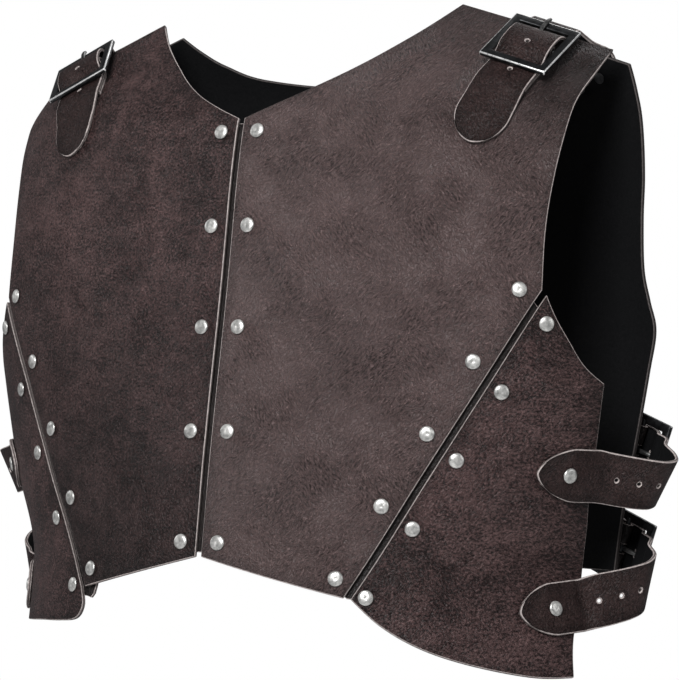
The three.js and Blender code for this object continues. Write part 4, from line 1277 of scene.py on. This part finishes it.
def buckle_frame(bm):
    bmesh.ops.create_grid(bm, x_segments=1, y_segments=1, size=BUCKLE_SIZE / 2)
    bmesh.ops.inset_region(bm, faces=bm.faces[:], thickness=(BUCKLE_SIZE - BUCKLE_WINDOW) / 2,
                           use_boundary=True, use_even_offset=True)
    window = min(bm.faces, key=lambda f: f.calc_center_median().length)
    bmesh.ops.delete(bm, geom=[window], context="FACES_ONLY")
    drawn = bmesh.ops.extrude_face_region(bm, geom=bm.faces[:])
    raised = [g for g in drawn["geom"] if isinstance(g, bmesh.types.BMVert)]
    bmesh.ops.translate(bm, verts=raised, vec=(0, 0, BUCKLE_THICKNESS))
    bmesh.ops.recalc_face_normals(bm, faces=bm.faces)
    sharp = [e for e in bm.edges if e.is_manifold and e.calc_face_angle(0) > 0.5]
    made = bmesh.ops.bevel(bm, geom=sharp, offset=0.75, offset_type="OFFSET", affect="EDGES",
                           segments=2, profile=0.5, material=-1, clamp_overlap=True)
    for face in made["faces"]:
        # bright metal on the outer top bevels: partly wear, partly painted highlight
        middle = face.calc_center_median()
        if max(abs(middle.x), abs(middle.y)) > BUCKLE_SIZE / 2 - 2 and middle.z > 1:
            face.material_index = 1
    bmesh.ops.translate(bm, verts=bm.verts, vec=(0, 0, BUCKLE_LIFT))


def add_rod(bm, radius, length, centre, segments=20):
    """A round rod across the seat, rounded at its ends."""
    made = bmesh.ops.create_cone(bm, cap_ends=True, segments=segments,
                                 radius1=radius, radius2=radius, depth=length)
    verts = made["verts"]
    bmesh.ops.rotate(bm, verts=verts, cent=(0, 0, 0), matrix=Matrix.Rotation(math.pi / 2, 3, "Y"))
    bmesh.ops.translate(bm, verts=verts, vec=centre)
    rims = {e for v in verts for e in v.link_edges if e.is_manifold and e.calc_face_angle(0) > 1.0}
    bmesh.ops.bevel(bm, geom=list(rims), offset=radius * 0.3, offset_type="OFFSET", affect="EDGES",
                    segments=3, profile=0.5, material=-1, clamp_overlap=True)
    return verts


PRONG_LINE = np.array([
    # along, above the seat
    (-1, 7.7), (-5, 7.8), (-8, 8.2), (-11.5, 9.3), (-15, 10.9), (-19, 11.4), (-22.4, 11.2), (-25.4, 10.4),
])


def add_prong(bm):
    """A rod drawn out step by step along its bent line, thinner towards its tip."""
    ring = bmesh.ops.create_circle(bm, cap_ends=True, segments=14, radius=PRONG_RADIUS)
    verts = ring["verts"]
    bmesh.ops.rotate(bm, verts=verts, cent=(0, 0, 0), matrix=Matrix.Rotation(math.pi / 2, 3, "X"))
    bmesh.ops.translate(bm, verts=verts, vec=(0, PRONG_LINE[0][0], PRONG_LINE[0][1]))
    cap = verts[0].link_faces[0]
    for k in range(1, len(PRONG_LINE)):
        step = PRONG_LINE[k] - PRONG_LINE[k - 1]
        drawn = bmesh.ops.extrude_face_region(bm, geom=[cap])
        verts = [g for g in drawn["geom"] if isinstance(g, bmesh.types.BMVert)]
        if k > 1:
            bmesh.ops.delete(bm, geom=[cap], context="FACES_ONLY")
        cap = next(g for g in drawn["geom"] if isinstance(g, bmesh.types.BMFace))
        bmesh.ops.translate(bm, verts=verts, vec=(0, step[0], step[1]))
        centre = Vector((0, PRONG_LINE[k][0], PRONG_LINE[k][1]))
        shrink = 1.0 if k < len(PRONG_LINE) - 2 else (0.88 if k == len(PRONG_LINE) - 2 else 0.8)
        bmesh.ops.scale(bm, verts=verts, vec=(shrink,) * 3, space=Matrix.Translation(-centre))
    bmesh.ops.bevel(bm, geom=list(cap.edges), offset=0.5, offset_type="OFFSET", affect="EDGES",
                    segments=3, profile=0.5, material=-1, clamp_overlap=True)


for key, seat in seats.items():
    name = key.replace("shoulder_", "shoulder_buckle_").replace("side_", "side_buckle_")
    bm = bmesh.new()
    buckle_frame(bm)
    add_rod(bm, BAR_RADIUS, BUCKLE_WINDOW + 5, (0, 0, BAR_LIFT))
    ring_verts = add_rod(bm, RING_RADIUS, RING_LENGTH, (0, 0, BAR_LIFT), 24)
    before = set(bm.faces)
    add_prong(bm)
    for face in set(bm.faces) - before:
        face.material_index = 2
    for face in {f for v in ring_verts if v.is_valid for f in v.link_faces}:
        face.material_index = 2
    place_part(bm, seat)
    finish_part(name + "_metal", bm, (gunmetal, gunmetal_wear_and_highlight, dull_metal), "buckle_metal", name)
print("buckles:", len(seats))

# %% [markdown]
# A rivet is turned metal, so its section is drawn once and spun round its axis: a thin rim, a low dome
# with a dimple left by the setting tool, the shank that goes through the leather, and a washer behind.

# %% Rivets
CAP_RADIUS, CAP_HEIGHT = 4.6, 1.65
SHANK_RADIUS, WASHER_RADIUS, WASHER_THICKNESS = 1.5, 3.6, 0.8
DOME = ((1.0, 0.0), (0.985, 0.3), (0.93, 0.52), (0.82, 0.72), (0.66, 0.87), (0.46, 0.96), (0.28, 0.99),
        (0.18, 0.97), (0.1, 0.93), (0.0, 0.91))


def make_rivet(name, x, z, cap_lift, depth, *nodes, face=FRONT, metal=nickel):
    """A rivet through the leather at a place of the pattern, with its cap outside."""
    foot = cap_lift + RIVET_GAP
    washer = -depth - RIVET_GAP
    section = [(0, washer - WASHER_THICKNESS), (WASHER_RADIUS - 0.4, washer - WASHER_THICKNESS),
               (WASHER_RADIUS, washer - WASHER_THICKNESS / 2), (WASHER_RADIUS - 0.3, washer),
               (SHANK_RADIUS, washer), (SHANK_RADIUS, foot), (CAP_RADIUS - 0.35, foot),
               (CAP_RADIUS, foot + 0.15)]
    section += [(CAP_RADIUS * r, foot + 0.15 + (CAP_HEIGHT - 0.15) * h) for r, h in DOME[1:]]
    bm = bmesh.new()
    line = [bm.verts.new((r, 0, h)) for r, h in section]
    for a, b in zip(line, line[1:]):
        bm.edges.new((a, b))
    bmesh.ops.spin(bm, geom=bm.verts[:] + bm.edges[:], cent=(0, 0, 0), axis=(0, 0, 1), dvec=(0, 0, 0),
                   angle=2 * math.pi, steps=24, use_merge=True, use_duplicate=False)
    bmesh.ops.remove_doubles(bm, verts=bm.verts, dist=0.001)
    normal = Vector(face_normal(face, np.float64(x), np.float64(z)))
    turn = Vector((0, 0, 1)).rotation_difference(normal).to_matrix().to_4x4()
    turn.translation = Vector(face_point(face, x, z, 0))
    bmesh.ops.transform(bm, matrix=Matrix.Scale(MM, 4) @ turn, verts=bm.verts)
    finish_part(name + "_metal", bm, (metal,), "rivet_metal", *nodes)


STRIP_DEPTH = PANEL + STRIP_GAP + STRIP
STRAP_RIVET_DEPTH, ROOT_RIVET_DEPTH = PANEL + 0.7, PANEL + 0.3
ROOT_RIVETS = [(187, -27), (172, -32)]
made_rivets = 0
for word, side in SIDES.items():
    groups = {"centre": CENTRE_RIVETS, "seam_chest": CHEST_RIVETS, "seam_side": FLANK_RIVETS}
    for group_name, places in groups.items():
        for k, (x, z) in enumerate(places):
            name = f"rivet_{group_name}_{word}_{k + 1}"
            make_rivet(name, x * side, z, 0, STRIP_DEPTH, name)
            made_rivets += 1
    for height, (x, z) in STRAP_RIVETS.items():
        name = f"rivet_side_strap_{word}_{height}"
        make_rivet(name, x * side, z, STRAP_GAP + STRAP, STRAP_RIVET_DEPTH, name)
        made_rivets += 1
    for k, (x, z) in enumerate(ROOT_RIVETS):
        make_rivet(f"rivet_root_{word}_{k + 1}", x * side, z, STRAP_GAP + STRAP, ROOT_RIVET_DEPTH,
                   face=REAR, metal=dark_metal)
        made_rivets += 1
print("rivets:", made_rivets)
